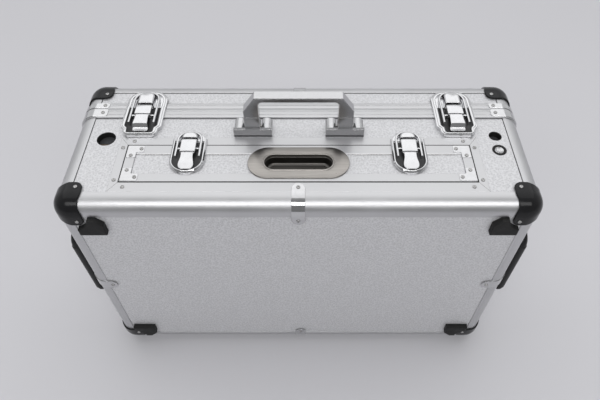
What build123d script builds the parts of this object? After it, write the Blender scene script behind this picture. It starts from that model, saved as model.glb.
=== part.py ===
from build123d import *
import os

# Aluminium tool case, standing on its hinge side: X across, Y from front to back, Z up.
# Until the last step Y is counted from the front plane and Z from the underside of the shell.

# Shell
tool_reach = 60.0
case_width = 560.0
case_height = 345.4
body_depth = 158.0
lid_depth = 54.3
parting_gap = 0.4
panel_thickness = 5.0
panel_recess = 1.2

# Edge extrusion: a quarter-round bead with a slot for each panel
bead_radius = 20.0
bead_wall = 1.8
bead_leg = 21.0
slot_depth = 5.0
inner_lip = 3.0
inner_lip_wall = 1.6
seat_clearance = 0.1
mitre_gap = 0.1

# Rims either side of the parting plane
body_rim_width = 15.7
lid_rim_width = 10.3
rim_proud = 1.4
rim_wall = 8.5
rim_edge_radius = 1.2
tongue_height = 2.4
tongue_room = 0.5
tongue_wall = 1.6
tongue_inset = 4.0
tongue_clearance = 0.6

# Ball corners and their rivets
corner_leg = 34.0
corner_wall = 2.2
corner_lobe_radius = 9.0
corner_bite_radius = 20.0
corner_waist = 25.6
rivet_inset = 26.5
rivet_radius = 2.4
rivet_height = 1.3
surface_clearance = 0.1

# Edge straps
strap_width = 16.0
strap_reach = 33.0
strap_wall = 1.1
strap_rivet_inset = 26.5

# Rim brackets at the parting plane
bracket_reach = 35.0
bracket_wall = 0.9
body_bracket_width = 13.6
lid_bracket_width = 8.4
bracket_rivet_inset = 29.0

# Pads on the front face, for when the case lies down
pad_width = 32.0
pad_height = 27.0
pad_thickness = 6.0
pad_inset_x = 24.0
pad_inset_z = 21.6
pad_chamfer = 9.0
pad_scoop_radius = 20.0
pad_screw_radius = 2.3
pad_screw_sink = 1.6

# Feet under the hinge side
base_foot_radius = 11.0
base_foot_height = 6.0
base_foot_inset_x = 60.0
base_foot_inset_y = 44.0

# Drawer opening and its flat mitred surround
drawer_side_margin = 72.3
drawer_front_y = 35.6
drawer_handle_gap = 15.2
drawer_gap = 0.5
surround_side = 10.2
surround_front = 14.0
surround_back = 13.0

# Drawer front
drawer_rail_front = 13.0
drawer_rail_back = 14.8
drawer_stile = 12.0
drawer_frame_thickness = 3.4
drawer_panel_drop = 1.2
drawer_plate_leg = 20.0
drawer_plate_width = 11.0
drawer_plate_thickness = 0.7
drawer_length = 285.0
drawer_wall = 4.0
drawer_board = 6.0
drawer_side_room = 8.0
drawer_tray_margin = 3.6
drawer_bottom_gap = 3.0

# Bay that holds the drawer
bay_board = 6.0
bay_gap = 1.0
slide_height = 25.2
slide_wall = 1.2
slide_clearance = 0.4
divider_gap = 3.0
divider_board = 6.0
bay_bottom_board = 6.0

# Flush pull let into the drawer front
pull_length = 121.0
pull_height = 49.0
pull_plate = 1.6
pull_slot_length = 81.0
pull_slot_height = 23.6
pull_rim = 1.8
pull_rim_proud = 1.0
pull_depth = 14.0
pull_wall = 1.2

# Round holes through the top face
cable_hole_inset = 42.5
cable_hole_setback = 36.1
cable_hole_radius = 11.7
small_hole_inset = 36.9
small_hole_setback = 31.4
small_hole_radius = 8.0
socket_hole_spacing = 23.9
socket_hole_radius = 7.3
socket_disc_radius = 4.9
socket_drop = 1.6

# Carrying handle
handle_setback = 32.9
handle_base_width = 47.2
handle_base_height = 11.0
handle_lug_reach = 22.0
handle_leg_width = 18.4
handle_leg_spacing = 113.0
handle_stop_height = 30.4
handle_stop_wall = 4.0
handle_gap = 0.4
handle_depth = 13.2
handle_underside = 54.0
handle_top = 60.4
handle_chamfer_low = 40.0
handle_top_half = 51.5
handle_inner_radius = 5.0
handle_pin_height = 6.2
handle_pin_setback = 12.2
handle_pin_radius = 2.0
handle_heel_radius = 5.4

# Bail handles on the two ends
bail_length = 144.0
bail_top_drop = 101.5
bail_bar_y = 30.0
bail_bar_radius = 6.2
bail_stand_off = 13.8
bail_arm_radius = 5.2
bail_bend_radius = 14.0
bail_pivot_y = 84.0
bail_pivot_radius = 2.5
bail_eye_radius = 6.6
bail_eye_height = 10.8
mount_length = 36.0
mount_width = 26.0
mount_plate = 1.4
mount_cheek = 4.0

# Running fits
pin_clearance = 0.05
cheek_clearance = 0.35

# Hinges under the parting plane
hinge_offset = 150.0
hinge_length = 62.0
hinge_leaf = 1.4
hinge_body_leaf = 14.6
hinge_lid_leaf = 9.4
hinge_knuckle_radius = 3.6
hinge_pin_radius = 1.6
hinge_drop = 1.6
hinge_knuckles = 5
knuckle_clearance = 0.35

# Lining
lining = 4.0
lining_gap = 0.4

# Draw latches. Heights are counted from the face that a latch is riveted to, Y from the front plane.
latch_plate = 1.2
latch_sheet = 1.1
latch_rim_wall = 2.0
latch_arm = 3.0
latch_gap = 0.3
latch_ear = 1.3
keeper_clearance = 0.9

# Lid latches
lid_latch_inset = 83.0
lid_latch_base_length = 50.0
lid_latch_half_front = 21.5
lid_latch_half = 25.4
lid_latch_shoulder = 13.0
lid_latch_keeper_length = 30.8
lid_latch_link_reach = 25.6
lid_latch_link_half = 17.0
lid_latch_lever_half = 9.9
lid_latch_height = 9.6
lid_latch_rim_height = 4.4
lid_latch_pivot_setback = 5.0
lid_latch_pivot_height = 5.2
lid_latch_crank = 12.0
lid_latch_crank_drop = 1.2
lid_latch_link_low = 1.8
lid_latch_link_high = 7.0
lid_latch_tip = 5.0
lid_latch_tip_half = 9.6
lid_latch_waist_half = 8.2
lid_latch_step = 14.4
lid_latch_step_foot = 10.0
lid_latch_bend = 30.8
lid_latch_tip_height = 3.4
lid_latch_pin_radius = 1.3
lid_latch_corner_radius = 8.0
lid_latch_keeper_radius = 18.0

# Drawer latches
drawer_latch_inset = 75.2
drawer_latch_base_length = 47.6
drawer_latch_half = 20.8
drawer_latch_arm_reach = 7.7
drawer_latch_keeper_reach = 22.9
drawer_latch_keeper_half = 18.0
drawer_latch_link_reach = 19.2
drawer_latch_link_half = 15.7
drawer_latch_lever_half = 9.2
drawer_latch_height = 8.0
drawer_latch_rim_height = 4.2
drawer_latch_pivot_reach = 1.0
drawer_latch_pivot_height = 4.4
drawer_latch_crank = 10.0
drawer_latch_crank_drop = 1.0
drawer_latch_link_low = 1.5
drawer_latch_link_high = 5.8
drawer_latch_tip = 4.6
drawer_latch_tip_half = 9.3
drawer_latch_waist_half = 7.4
drawer_latch_bend = 28.9
drawer_latch_tip_height = 3.6
drawer_latch_pin_radius = 1.1

# Derived places
half_width = case_width / 2
case_depth = body_depth + lid_depth
lid_front = body_depth + parting_gap
top = case_height
panel_face = panel_recess
panel_back = panel_recess + panel_thickness
panel_edge = bead_leg - slot_depth + seat_clearance
bead_reach = bead_leg + inner_lip
rim_start = body_depth - body_rim_width
handle_front_y = rim_start - handle_setback
drawer_half_width = half_width - drawer_side_margin
drawer_back_y = handle_front_y - drawer_handle_gap
divider_y = drawer_back_y + divider_gap
cable_hole_x = cable_hole_inset - half_width
cable_hole_y = rim_start - cable_hole_setback
small_hole_x = half_width - small_hole_inset
small_hole_y = rim_start - small_hole_setback
socket_hole_y = small_hole_y - socket_hole_spacing
lid_latch_x = half_width - lid_latch_inset
lid_latch_front = body_depth - lid_latch_base_length
lid_latch_shoulder_y = lid_latch_front + lid_latch_shoulder
lid_latch_tip_y = lid_latch_front + lid_latch_tip
lid_latch_step_foot_y = lid_latch_front + lid_latch_step_foot
lid_latch_step_y = lid_latch_front + lid_latch_step
lid_latch_bend_y = lid_latch_front + lid_latch_bend
lid_latch_keeper_end = lid_front + lid_latch_keeper_length
lid_latch_link_end = lid_front + lid_latch_link_reach
drawer_latch_x = drawer_half_width - drawer_latch_inset
drawer_latch_pivot_y = drawer_back_y + drawer_latch_pivot_reach
drawer_latch_front = drawer_latch_pivot_y - drawer_latch_base_length
drawer_latch_tip_y = drawer_latch_front + drawer_latch_tip
drawer_latch_bend_y = drawer_latch_front + drawer_latch_bend
drawer_latch_arm_end = drawer_back_y + drawer_latch_arm_reach
drawer_latch_keeper_end = drawer_back_y + drawer_latch_keeper_reach
drawer_latch_link_end = drawer_back_y + drawer_latch_link_reach
lid_rim_end = lid_front + lid_rim_width
bead_start = bead_reach + seat_clearance
leg_centre = handle_leg_spacing / 2
lug_inner = (handle_leg_width + 2 * handle_gap) / 2
inside = panel_back + 3 * seat_clearance + inner_lip_wall
drawer_top = top
surround_top = top - latch_gap
drawer_board_top = top - drawer_frame_thickness
drawer_board_bottom = drawer_board_top - drawer_board
slide_top = drawer_board_bottom - slide_clearance
tray_half = drawer_half_width - drawer_side_room
tray_bottom = drawer_board_bottom - drawer_length
tray_front = drawer_front_y + drawer_tray_margin
tray_back = drawer_back_y - drawer_tray_margin
tray_middle = (tray_front + tray_back) / 2
bay_half = drawer_half_width + bay_gap
bay_floor = tray_bottom - drawer_bottom_gap
divider_back = divider_y + divider_board
lining_inset = rim_wall + lining_gap
handle_pin_y = handle_front_y + handle_pin_setback
handle_pin_z = top + handle_pin_height
bail_upper_z = top - bail_top_drop - bail_arm_radius
bail_lower_z = top - bail_top_drop - bail_length + bail_arm_radius
bail_pivot_x = half_width + mount_plate + bail_eye_radius + 2 * latch_gap
hinge_y = body_depth + parting_gap / 2
hinge_z = -hinge_drop
lid_latch_seat = top + rim_proud
lid_latch_pivot_y = body_depth - lid_latch_pivot_setback
lid_latch_pivot_z = lid_latch_seat + lid_latch_pivot_height
lid_latch_crank_y = lid_latch_pivot_y - lid_latch_crank
lid_latch_crank_z = lid_latch_pivot_z - lid_latch_crank_drop
drawer_latch_seat = drawer_top
drawer_latch_pivot_z = drawer_latch_seat + drawer_latch_pivot_height
drawer_latch_crank_y = drawer_latch_pivot_y - drawer_latch_crank
drawer_latch_crank_z = drawer_latch_pivot_z - drawer_latch_crank_drop
UP = (0, 0, 1)


def block(x0, x1, y0, y1, z0, z1):
    """A box from its lowest to its highest corner."""
    return Pos((x0 + x1) / 2, (y0 + y1) / 2, (z0 + z1) / 2) * Box(x1 - x0, y1 - y0, z1 - z0)


def rod(start, direction, radius, length):
    """A round bar that starts at a point and runs along a direction."""
    disc = Plane(origin=start, z_dir=direction) * Circle(radius)
    return extrude(disc, length)


def group(*shapes):
    """Separate solids kept together in one node."""
    solids = []
    for shape in shapes:
        if isinstance(shape, (list, tuple)):
            solids += group(*shape).solids()
        else:
            solids += shape.solids()
    return Compound(children=solids)


def both_sides(shape):
    """A shape and its mirror image across the middle of the case."""
    return [shape, mirror(shape, Plane.YZ)]


def top_and_bottom(shape):
    """A shape and its mirror image across the mid height of the case."""
    return [shape, mirror(shape, Plane(origin=(0, 0, top / 2), z_dir=UP))]


def four_ways(shape):
    """A shape at the right and left, top and bottom of the case."""
    return [copy for pair in both_sides(shape) for copy in top_and_bottom(pair)]


def facing_back(shape):
    """The same shape turned from the front plane to the back plane."""
    return mirror(shape, Plane(origin=(0, case_depth / 2, 0), z_dir=(0, 1, 0)))


def rivet(point, direction):
    """A domed rivet head that sits on a surface."""
    head = rod(point, direction, rivet_radius, rivet_height)
    edge = head.edges().filter_by(GeomType.CIRCLE).sort_by(lambda e: (e.center() - Vector(point)).length)[-1]
    return fillet(edge, rivet_height * 0.7)


def bead_section():
    """Section of the edge extrusion, with its outer corner at the origin and the case towards +X +Y."""
    centre = Pos(bead_radius, bead_radius)
    ring = centre * (Circle(bead_radius) - Circle(bead_radius - bead_wall))
    ring &= Pos(bead_radius / 2, bead_radius / 2) * Rectangle(bead_radius, bead_radius)
    slot_end = bead_leg - slot_depth
    lip_low = panel_back + 2 * seat_clearance
    lip_high = lip_low + inner_lip_wall

    def bar(x0, x1, y0, y1):
        return Pos((x0 + x1) / 2, (y0 + y1) / 2) * Rectangle(x1 - x0, y1 - y0)

    outer_lip = bar(bead_radius - 0.5, bead_leg, 0, panel_recess)
    skin = bar(slot_end - inner_lip_wall, bead_radius, 0, panel_recess) & centre * Circle(bead_radius)
    slot_wall = bar(slot_end - inner_lip_wall, slot_end, panel_recess, lip_high)
    back_lip = bar(lip_low, bead_reach, lip_low, lip_high)
    half = outer_lip + skin + slot_wall + back_lip
    slot = bar(slot_end, bead_reach, panel_recess, lip_low)
    diagonal = Plane(origin=(0, 0, 0), z_dir=(1, -1, 0))
    section = ring + half + mirror(half, diagonal)
    return (section - slot - mirror(slot, diagonal)).faces()[0]


def bead(start, direction, inward_a, inward_b, length):
    """An edge extrusion along a direction, with the case on the two inward sides."""
    along = Vector(direction)
    a = Vector(inward_a)
    b = Vector(inward_b)
    x_dir = a if (along.cross(a) - b).length < 0.1 else b
    return extrude(Plane(origin=start, x_dir=x_dir, z_dir=along) * bead_section(), length)


def face_panels():
    """The composite panels of the front part: front, top, bottom and the two ends."""
    x = half_width - panel_edge
    z0 = panel_edge
    z1 = top - panel_edge
    y1 = rim_start + slot_depth - seat_clearance
    front = block(-x, x, panel_face, panel_back, z0, z1)
    bottom = block(-x, x, panel_edge, y1, panel_face, panel_back)
    end = block(half_width - panel_back, half_width - panel_face, panel_edge, y1, z0, z1)
    lid_y0 = lid_rim_end - slot_depth + seat_clearance
    lid_y1 = case_depth - panel_edge
    lid = block(-x, x, case_depth - panel_back, case_depth - panel_face, z0, z1)
    lid_bottom = block(-x, x, lid_y0, lid_y1, panel_face, panel_back)
    lid_end = block(half_width - panel_back, half_width - panel_face, lid_y0, lid_y1, z0, z1)
    return {
        "front_panel": front,
        "top_panel": top_panel(x, y1),
        "bottom_panel": bottom,
        "end_panels": group(both_sides(end)),
        "lid_panel": lid,
        "lid_wall_panels": group(top_and_bottom(lid_bottom), both_sides(lid_end)),
    }


def top_panel(x, y1):
    """The top panel, with the drawer opening and the three round holes."""
    panel = block(-x, x, panel_edge, y1, top - panel_back, top - panel_face)
    opening = drawer_half_width + drawer_gap
    panel -= block(
        -opening, opening, drawer_front_y - drawer_gap, drawer_back_y + drawer_gap, top - 2 * panel_back, top
    )
    for hole_x, hole_y, radius in round_holes():
        panel -= rod((hole_x, hole_y, top - 2 * panel_back), UP, radius, 2 * panel_back)
    return panel


def round_holes():
    """Place and radius of each round hole in the top panel."""
    return [
        (cable_hole_x, cable_hole_y, cable_hole_radius),
        (small_hole_x, small_hole_y, small_hole_radius),
        (small_hole_x, socket_hole_y, socket_hole_radius),
    ]


def socket_insert():
    """The metal socket that fills the lower of the two right-hand holes."""
    sleeve_radius = socket_hole_radius - seat_clearance
    base_z = top - panel_back - 3.0
    face_z = top - panel_face - 0.2
    body = rod((small_hole_x, socket_hole_y, base_z), UP, sleeve_radius, face_z - base_z)
    ring_inner = sleeve_radius - 0.8
    body -= rod((small_hole_x, socket_hole_y, face_z - 5.0), UP, ring_inner, 6.0)
    disc = rod((small_hole_x, socket_hole_y, base_z), UP, socket_disc_radius, face_z - socket_drop - base_z)
    body += disc
    nut_z = top - panel_back - seat_clearance - 2.4
    nut_plane = Plane(origin=(small_hole_x, socket_hole_y, nut_z))
    nut = extrude(nut_plane * RegularPolygon(sleeve_radius + 2.6, 6), 2.4)
    return body + nut


def front_beads():
    """The four extrusions round the front face."""
    across = bead((-half_width + bead_start, 0, 0), (1, 0, 0), (0, 1, 0), UP, case_width - 2 * bead_start)
    upright = bead((half_width, 0, bead_start), UP, (-1, 0, 0), (0, 1, 0), top - 2 * bead_start)
    return group(top_and_bottom(across), both_sides(upright))


def side_beads():
    """The four extrusions that run back from the front corners to the body rim."""
    length = rim_start - seat_clearance - bead_start
    edge = bead((half_width, bead_start, 0), (0, 1, 0), (-1, 0, 0), UP, length)
    return group(four_ways(edge))


def lid_side_beads():
    """The four short extrusions between the lid rim and the back corners."""
    start = lid_rim_end + seat_clearance
    edge = bead((half_width, start, 0), (0, 1, 0), (-1, 0, 0), UP, case_depth - bead_start - start)
    return group(four_ways(edge))


def frame_bar(inset, y0, y1, radius):
    """A bar with the outline of the shell drawn in by an inset, rounded at its four corners."""
    outline = RectangleRounded(case_width - 2 * inset, top - 2 * inset, radius)
    plane = Plane(origin=(0, y0, top / 2), x_dir=(1, 0, 0), z_dir=(0, -1, 0))
    return extrude(plane * outline, -(y1 - y0))


def rim_ring(y0, y1):
    """A closed rim between two depths, proud of the shell, with eased outer edges."""
    ring = frame_bar(-rim_proud, y0, y1, bead_radius + rim_proud)
    outer_edges = ring.edges().filter_by(lambda e: abs(e.center().Y - y0) < 0.01 or abs(e.center().Y - y1) < 0.01)
    ring = fillet(outer_edges, rim_edge_radius)
    return ring - frame_bar(rim_wall, y0 - 1, y1 + 1, bead_radius - rim_wall)


def panel_slots(y0, y1):
    """The slots in a rim that take the panel edges."""
    x = half_width - panel_edge + seat_clearance
    z = top / 2 - panel_edge + seat_clearance
    low = panel_face - seat_clearance
    high = panel_back + seat_clearance
    flat = block(-x, x, y0, y1, low, high)
    end = block(half_width - high, half_width - low, y0, y1, top / 2 - z, top / 2 + z)
    return top_and_bottom(flat) + both_sides(end)


def mitred(ring):
    """A ring cut at its four corners into separate rails."""
    reach = 4 * rim_wall + bead_radius
    for side in (-1, 1):
        for z, lean in ((0, -1), (top, 1)):
            saw = Box(2 * reach, 2 * case_depth, mitre_gap)
            ring -= Pos(side * half_width, body_depth, z) * Rot(0, -45 * side * lean, 0) * saw
    return ring


def tongue(clearance):
    """The tongue that stands out of the body rim, grown by a clearance."""
    low = tongue_inset - clearance
    high = tongue_inset + tongue_wall + clearance
    y1 = body_depth + tongue_height + clearance
    outer = frame_bar(low, body_depth - 1, y1, bead_radius - low)
    return outer - frame_bar(high, body_depth - 2, y1 + 1, bead_radius - high)


def body_rim():
    """The body's rim: four mitred rails with the tongue that keeps dust out."""
    ring = rim_ring(rim_start, body_depth)
    for slot in panel_slots(rim_start - 1, rim_start + slot_depth):
        ring -= slot
    ring += tongue(0)
    for room in hinge_room():
        ring -= room
    return group(mitred(ring))


def lid_rim():
    """The lid's rim: four mitred rails, cut back inside so that the tongue enters."""
    ring = rim_ring(lid_front, lid_rim_end)
    for slot in panel_slots(lid_rim_end - slot_depth, lid_rim_end + 1):
        ring -= slot
    rebate_end = body_depth + tongue_height + tongue_room
    ring -= frame_bar(tongue_inset - tongue_clearance, lid_front - 1, rebate_end, bead_radius - tongue_inset)
    for room in hinge_room():
        ring -= room
    return group(mitred(ring))


def corner_block(skin, leg, radius):
    """A rounded corner of the shell, grown outwards by a skin and reaching a leg along each edge."""
    side = leg + skin
    solid = Pos(side / 2 - skin, side / 2 - skin, side / 2 - skin) * Box(side, side, side)
    near = Vector(-skin, -skin, -skin)
    edges = solid.edges().filter_by(lambda e: min((near - e @ 0).length, (near - e @ 1).length) < 0.01)
    return fillet(edges, radius)


def ball_corner():
    """A ball corner at the origin of its own axes: a shell over three faces with a bite over each bead."""
    outside = corner_block(corner_wall, corner_leg, bead_radius + corner_wall)
    far_edges = outside.edges().filter_by(
        lambda e: e.geom_type == GeomType.LINE and sorted(tuple(e.center()))[1] > corner_leg - 0.01
    )
    cap = fillet(far_edges, corner_lobe_radius)
    hollow = corner_block(surface_clearance, 2 * corner_leg, bead_radius + surface_clearance)
    low = bead_leg + surface_clearance
    for lift in ((1, 0, 0), (0, 1, 0), (0, 0, 1)):
        ends = [(-1, panel_recess) if step else (low, 3 * corner_leg) for step in lift]
        hollow -= block(*ends[0], *ends[1], *ends[2])
    cap -= hollow
    bite_centre = corner_waist + corner_bite_radius
    reach = 2 * corner_leg
    for along, across in (((1, 0, 0), (0, 1, 1)), ((0, 1, 0), (1, 0, 1)), ((0, 0, 1), (1, 1, 0))):
        centre = Vector(along) * bite_centre
        cut_dir = Vector(across).normalized()
        cap -= rod(centre - cut_dir * reach, cut_dir, corner_bite_radius, 2 * reach)
    return cap


def corner_at(shape, x_side, at_back, at_top):
    """A shape made at the origin, mirrored to one of the eight corners of the case."""
    if x_side > 0:
        shape = mirror(shape, Plane.YZ)
    if at_back:
        shape = mirror(shape, Plane.XZ)
    if at_top:
        shape = mirror(shape, Plane.XY)
    return Pos(x_side * half_width, case_depth if at_back else 0, top if at_top else 0) * shape


def corner_set(shape, at_back):
    """A corner shape at the four corners of the front or the back."""
    return [corner_at(shape, side, at_back, high) for side in (-1, 1) for high in (False, True)]


def corner_rivets():
    """The three rivets of one ball corner, in its own axes."""
    low = -corner_wall
    inset = rivet_inset
    return [
        rivet((low, inset, inset), (-1, 0, 0)),
        rivet((inset, low, inset), (0, -1, 0)),
        rivet((inset, inset, low), (0, 0, -1)),
    ]


def edge_strap():
    """A strap bent over a bead that runs along X, in the corner axes of the bead."""
    half = strap_width / 2
    outside = bent_edge(strap_wall, strap_reach)
    hollow = bent_edge(surface_clearance, 2 * strap_reach)
    low = bead_leg + surface_clearance
    hollow -= block(-strap_width, strap_width, low, 3 * strap_reach, -1, panel_recess)
    hollow -= block(-strap_width, strap_width, -1, panel_recess, low, 3 * strap_reach)
    strap = outside - hollow
    strap &= block(-half, half, -strap_wall, strap_reach, -strap_wall, strap_reach)
    ends = strap.edges().filter_by(
        lambda e: abs(e.center().X) > half - 0.01 and max(tuple(e.center())[1:]) > strap_reach - 0.01
    )
    return fillet(ends, half - 0.2)


def body_straps(strap):
    """The straps of the body; the top one lies over the drawer's surround."""
    x = drawer_half_width + drawer_gap + surround_side
    y0 = drawer_front_y - drawer_gap - surround_front - seat_clearance
    seat = block(-x, x, y0, drawer_back_y, top - 2 * panel_recess, surround_top + seat_clearance)
    return group([one - seat for one in at_strap_places(strap, False)])


def bent_edge(skin, reach):
    """A long bar with the rounded edge of the shell, grown outwards by a skin."""
    bar = block(-strap_width, strap_width, -skin, reach, -skin, reach)
    edge = bar.edges().filter_by(Axis.X).sort_by(lambda e: e.center().Y + e.center().Z)[0]
    return fillet(edge, bead_radius + skin)


def strap_with_rivets():
    """One strap and the rivets at its two ends."""
    low = -strap_wall
    rivets = [rivet((0, strap_rivet_inset, low), (0, 0, -1)), rivet((0, low, strap_rivet_inset), (0, -1, 0))]
    return edge_strap(), rivets


def at_strap_places(shape, at_back):
    """A strap shape at the middle of the four edges round the front or the back."""
    placed = top_and_bottom(shape)
    upright = Pos(-half_width, 0, top / 2) * Rot(0, 90, 0) * shape
    placed += both_sides(upright)
    if at_back:
        placed = [facing_back(copy) for copy in placed]
    return placed


def rim_bracket(y0, y1):
    """The bracket that wraps a rim's corner at the upper right."""
    outer = frame_bar(-rim_proud - bracket_wall, y0, y1, bead_radius + rim_proud + bracket_wall)
    inner = frame_bar(-rim_proud, y0 - 1, y1 + 1, bead_radius + rim_proud)
    reach = bracket_reach
    corner = block(half_width - reach, half_width + reach, y0, y1, top - reach, top + reach)
    bracket = (outer - inner) & corner
    ends = bracket.edges().filter_by(
        lambda e: e.length < bracket_wall + 0.05
        and (e.center().X < half_width - reach + 0.05 or e.center().Z < top - reach + 0.05)
    )
    return fillet(ends, 3.0)


def rim_brackets(y0, y1):
    """The brackets at the four corners of one rim, with their rivets."""
    bracket = rim_bracket(y0, y1)
    middle = (y0 + y1) / 2
    proud = rim_proud + bracket_wall
    inset = bracket_rivet_inset
    rivets = [
        rivet((half_width - inset, middle, top + proud), UP),
        rivet((half_width + proud, middle, top - inset), (1, 0, 0)),
    ]
    return group(four_ways(bracket)), [copy for one in rivets for copy in four_ways(one)]


def front_pad():
    """The pad near the upper left corner of the front face, scooped round the ball corner."""
    x0 = -half_width + pad_inset_x
    z1 = top - pad_inset_z
    pad = block(x0, x0 + pad_width, -pad_thickness, panel_face, z1 - pad_height, z1)
    scoop = rod((-half_width + rivet_inset / 1.4, 5, top - rivet_inset / 1.4), (0, -1, 0), pad_scoop_radius, 20)
    pad -= scoop
    upper = pad.edges().filter_by(Axis.Y).sort_by(lambda e: e.center().X + e.center().Z)[-1]
    pad = chamfer(upper, pad_chamfer)
    front_edges = pad.faces().sort_by(Axis.Y)[0].edges()
    pad = fillet(front_edges, 1.0)
    x, z = pad_screw_place()
    pad -= rod((x, -pad_thickness - 1, z), (0, 1, 0), pad_screw_radius + 1.0, pad_screw_sink + 1)
    return pad


def pad_screw_place():
    """Centre of the upper left pad's screw."""
    return -half_width + pad_inset_x + pad_width / 2, top - pad_inset_z - pad_height / 2 - 1.0


def pad_screw():
    """The cross-head screw in the upper left pad."""
    x, z = pad_screw_place()
    head = rod((x, -pad_thickness + pad_screw_sink, z), (0, -1, 0), pad_screw_radius, pad_screw_sink - 0.4)
    slot = Pos(x, -pad_thickness, z) * Rot(0, 30, 0) * (Box(3.0, 1.6, 0.7) + Box(0.7, 1.6, 3.0))
    return head - slot


def base_foot():
    """A rubber foot under the front right of the hinge side."""
    x = half_width - base_foot_inset_x
    foot = Pos(x, base_foot_inset_y, -base_foot_height) * Cylinder(
        base_foot_radius, base_foot_height + panel_face, align=(Align.CENTER, Align.CENTER, Align.MIN)
    )
    rim = foot.edges().filter_by(GeomType.CIRCLE).sort_by(Axis.Z)[0]
    foot = chamfer(rim, 1.6)
    return foot


def base_feet():
    """Four feet under the body part of the hinge side."""
    front = base_foot()
    back = Pos(0, rim_start - 2 * base_foot_inset_y + 12.0, 0) * front
    return group(both_sides(front), both_sides(back))


def drawer_surround():
    """The flat mitred frame round the drawer opening, four strips."""
    x0 = drawer_half_width + drawer_gap
    y0 = drawer_front_y - drawer_gap
    y1 = drawer_back_y + drawer_gap
    face = top - panel_face
    outer_x = x0 + surround_side
    outer_y0 = y0 - surround_front
    outer_y1 = y1 + surround_back
    ring = block(-outer_x, outer_x, outer_y0, outer_y1, face, surround_top)
    ring = chamfer(ring.faces().sort_by(Axis.Z)[-1].edges(), 0.4)
    ring -= block(-x0, x0, y0, y1, face - 1, top + 1)
    for side in (-1, 1):
        ring -= mitre_slot((side * x0, y0), (side * outer_x, outer_y0), face)
        ring -= mitre_slot((side * x0, y1), (side * outer_x, outer_y1), face)
    return group(ring)


def mitre_slot(inner, outer, z):
    """A hairline cut between the inner and outer corner of a flat frame."""
    start = Vector(*inner, z)
    run = Vector(*outer, z) - start
    middle = start + run * 0.5
    plane = Plane(origin=middle, x_dir=run, z_dir=UP)
    return plane * Box(run.length * 1.4, mitre_gap, 8)


def surround_screw_places():
    """Centres of the screws near the corners of the surround."""
    x_side = drawer_half_width + drawer_gap + surround_side / 2
    y_front = drawer_front_y - drawer_gap - surround_front / 2
    y_back = drawer_back_y + drawer_gap + surround_back / 2
    places = []
    for side in (-1, 1):
        places += [(side * x_side, drawer_front_y + 3.0), (side * x_side, drawer_back_y - 4.0)]
        places += [(side * (x_side - 12.0), y_front), (side * (x_side - 12.0), y_back)]
    return places


def drawer_frame():
    """The rails and stiles round the drawer's panel, four mitred strips with a bead line."""
    x0 = drawer_half_width
    inner_x = x0 - drawer_stile
    inner_y0 = drawer_front_y + drawer_rail_front
    inner_y1 = drawer_back_y - drawer_rail_back
    frame = block(-x0, x0, drawer_front_y, drawer_back_y, drawer_board_top, drawer_top)
    frame = chamfer(frame.faces().sort_by(Axis.Z)[-1].edges(), 0.5)
    frame -= block(-inner_x, inner_x, inner_y0, inner_y1, drawer_board_top - 1, drawer_top + 1)
    for side in (-1, 1):
        frame -= mitre_slot((side * inner_x, inner_y0), (side * x0, drawer_front_y), drawer_board_top)
        frame -= mitre_slot((side * inner_x, inner_y1), (side * x0, drawer_back_y), drawer_board_top)
    return group(frame - pull_hole())


def pull_centre():
    """Centre line of the drawer front, where the flush pull sits."""
    return (drawer_front_y + drawer_back_y) / 2


def pull_hole():
    """The cut-out in the drawer front that the pull's cup drops into."""
    wide = pull_slot_length + 2 * pull_wall + 2 * seat_clearance
    high = pull_slot_height + 2 * pull_wall + 2 * seat_clearance
    outline = SlotOverall(wide, high)
    return Pos(0, pull_centre(), drawer_top) * extrude(outline, tool_reach, both=True)


def drawer_panel():
    """The textured sheet in the drawer front."""
    inner_x = drawer_half_width - drawer_stile - seat_clearance
    y0 = drawer_front_y + drawer_rail_front + seat_clearance
    y1 = drawer_back_y - drawer_rail_back - seat_clearance
    sheet = block(-inner_x, inner_x, y0, y1, drawer_board_top, drawer_top - drawer_panel_drop)
    return sheet - pull_hole()


def drawer_box():
    """The drawer's board front and its tray, open towards the back of the case."""
    front = block(
        -drawer_half_width, drawer_half_width, drawer_front_y, drawer_back_y, drawer_board_bottom, drawer_board_top
    )
    tray = block(-tray_half, tray_half, tray_front, tray_back, tray_bottom, drawer_board_bottom)
    wall = drawer_wall
    hollow = block(
        wall - tray_half, tray_half - wall, tray_front + wall, tray_back + 1, tray_bottom + wall, drawer_board_bottom
    )
    return front + (tray - hollow) - pull_hole()


def drawer_corner_plate():
    """The L-shaped plate at the drawer front's upper right corner, lying on its frame."""
    x1 = drawer_half_width - 1.2
    y1 = drawer_back_y - 1.2
    low = drawer_top
    high = low + drawer_plate_thickness
    leg = drawer_plate_leg
    width = drawer_plate_width
    plate = block(x1 - leg, x1, y1 - width, y1, low, high) + block(x1 - width, x1, y1 - leg, y1, low, high)
    return fillet(plate.edges().filter_by(Axis.Z), 1.5)


def drawer_corner_plates():
    """The four corner plates of the drawer front."""
    across = Plane(origin=(0, pull_centre(), 0), z_dir=(0, 1, 0))
    plate = drawer_corner_plate()
    pair = [plate, mirror(plate, across)]
    return group([both_sides(one) for one in pair])


def drawer_rivet_places():
    """Centres of the rivets on the drawer's corner plates."""
    near = drawer_plate_width / 2 + 1.2
    far = drawer_plate_leg - 2.4
    places = []
    for side in (-1, 1):
        x = side * drawer_half_width
        for y, step in ((drawer_front_y, 1), (drawer_back_y, -1)):
            places.append((x - side * far, y + step * near))
            places.append((x - side * near, y + step * far))
    return places


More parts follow.
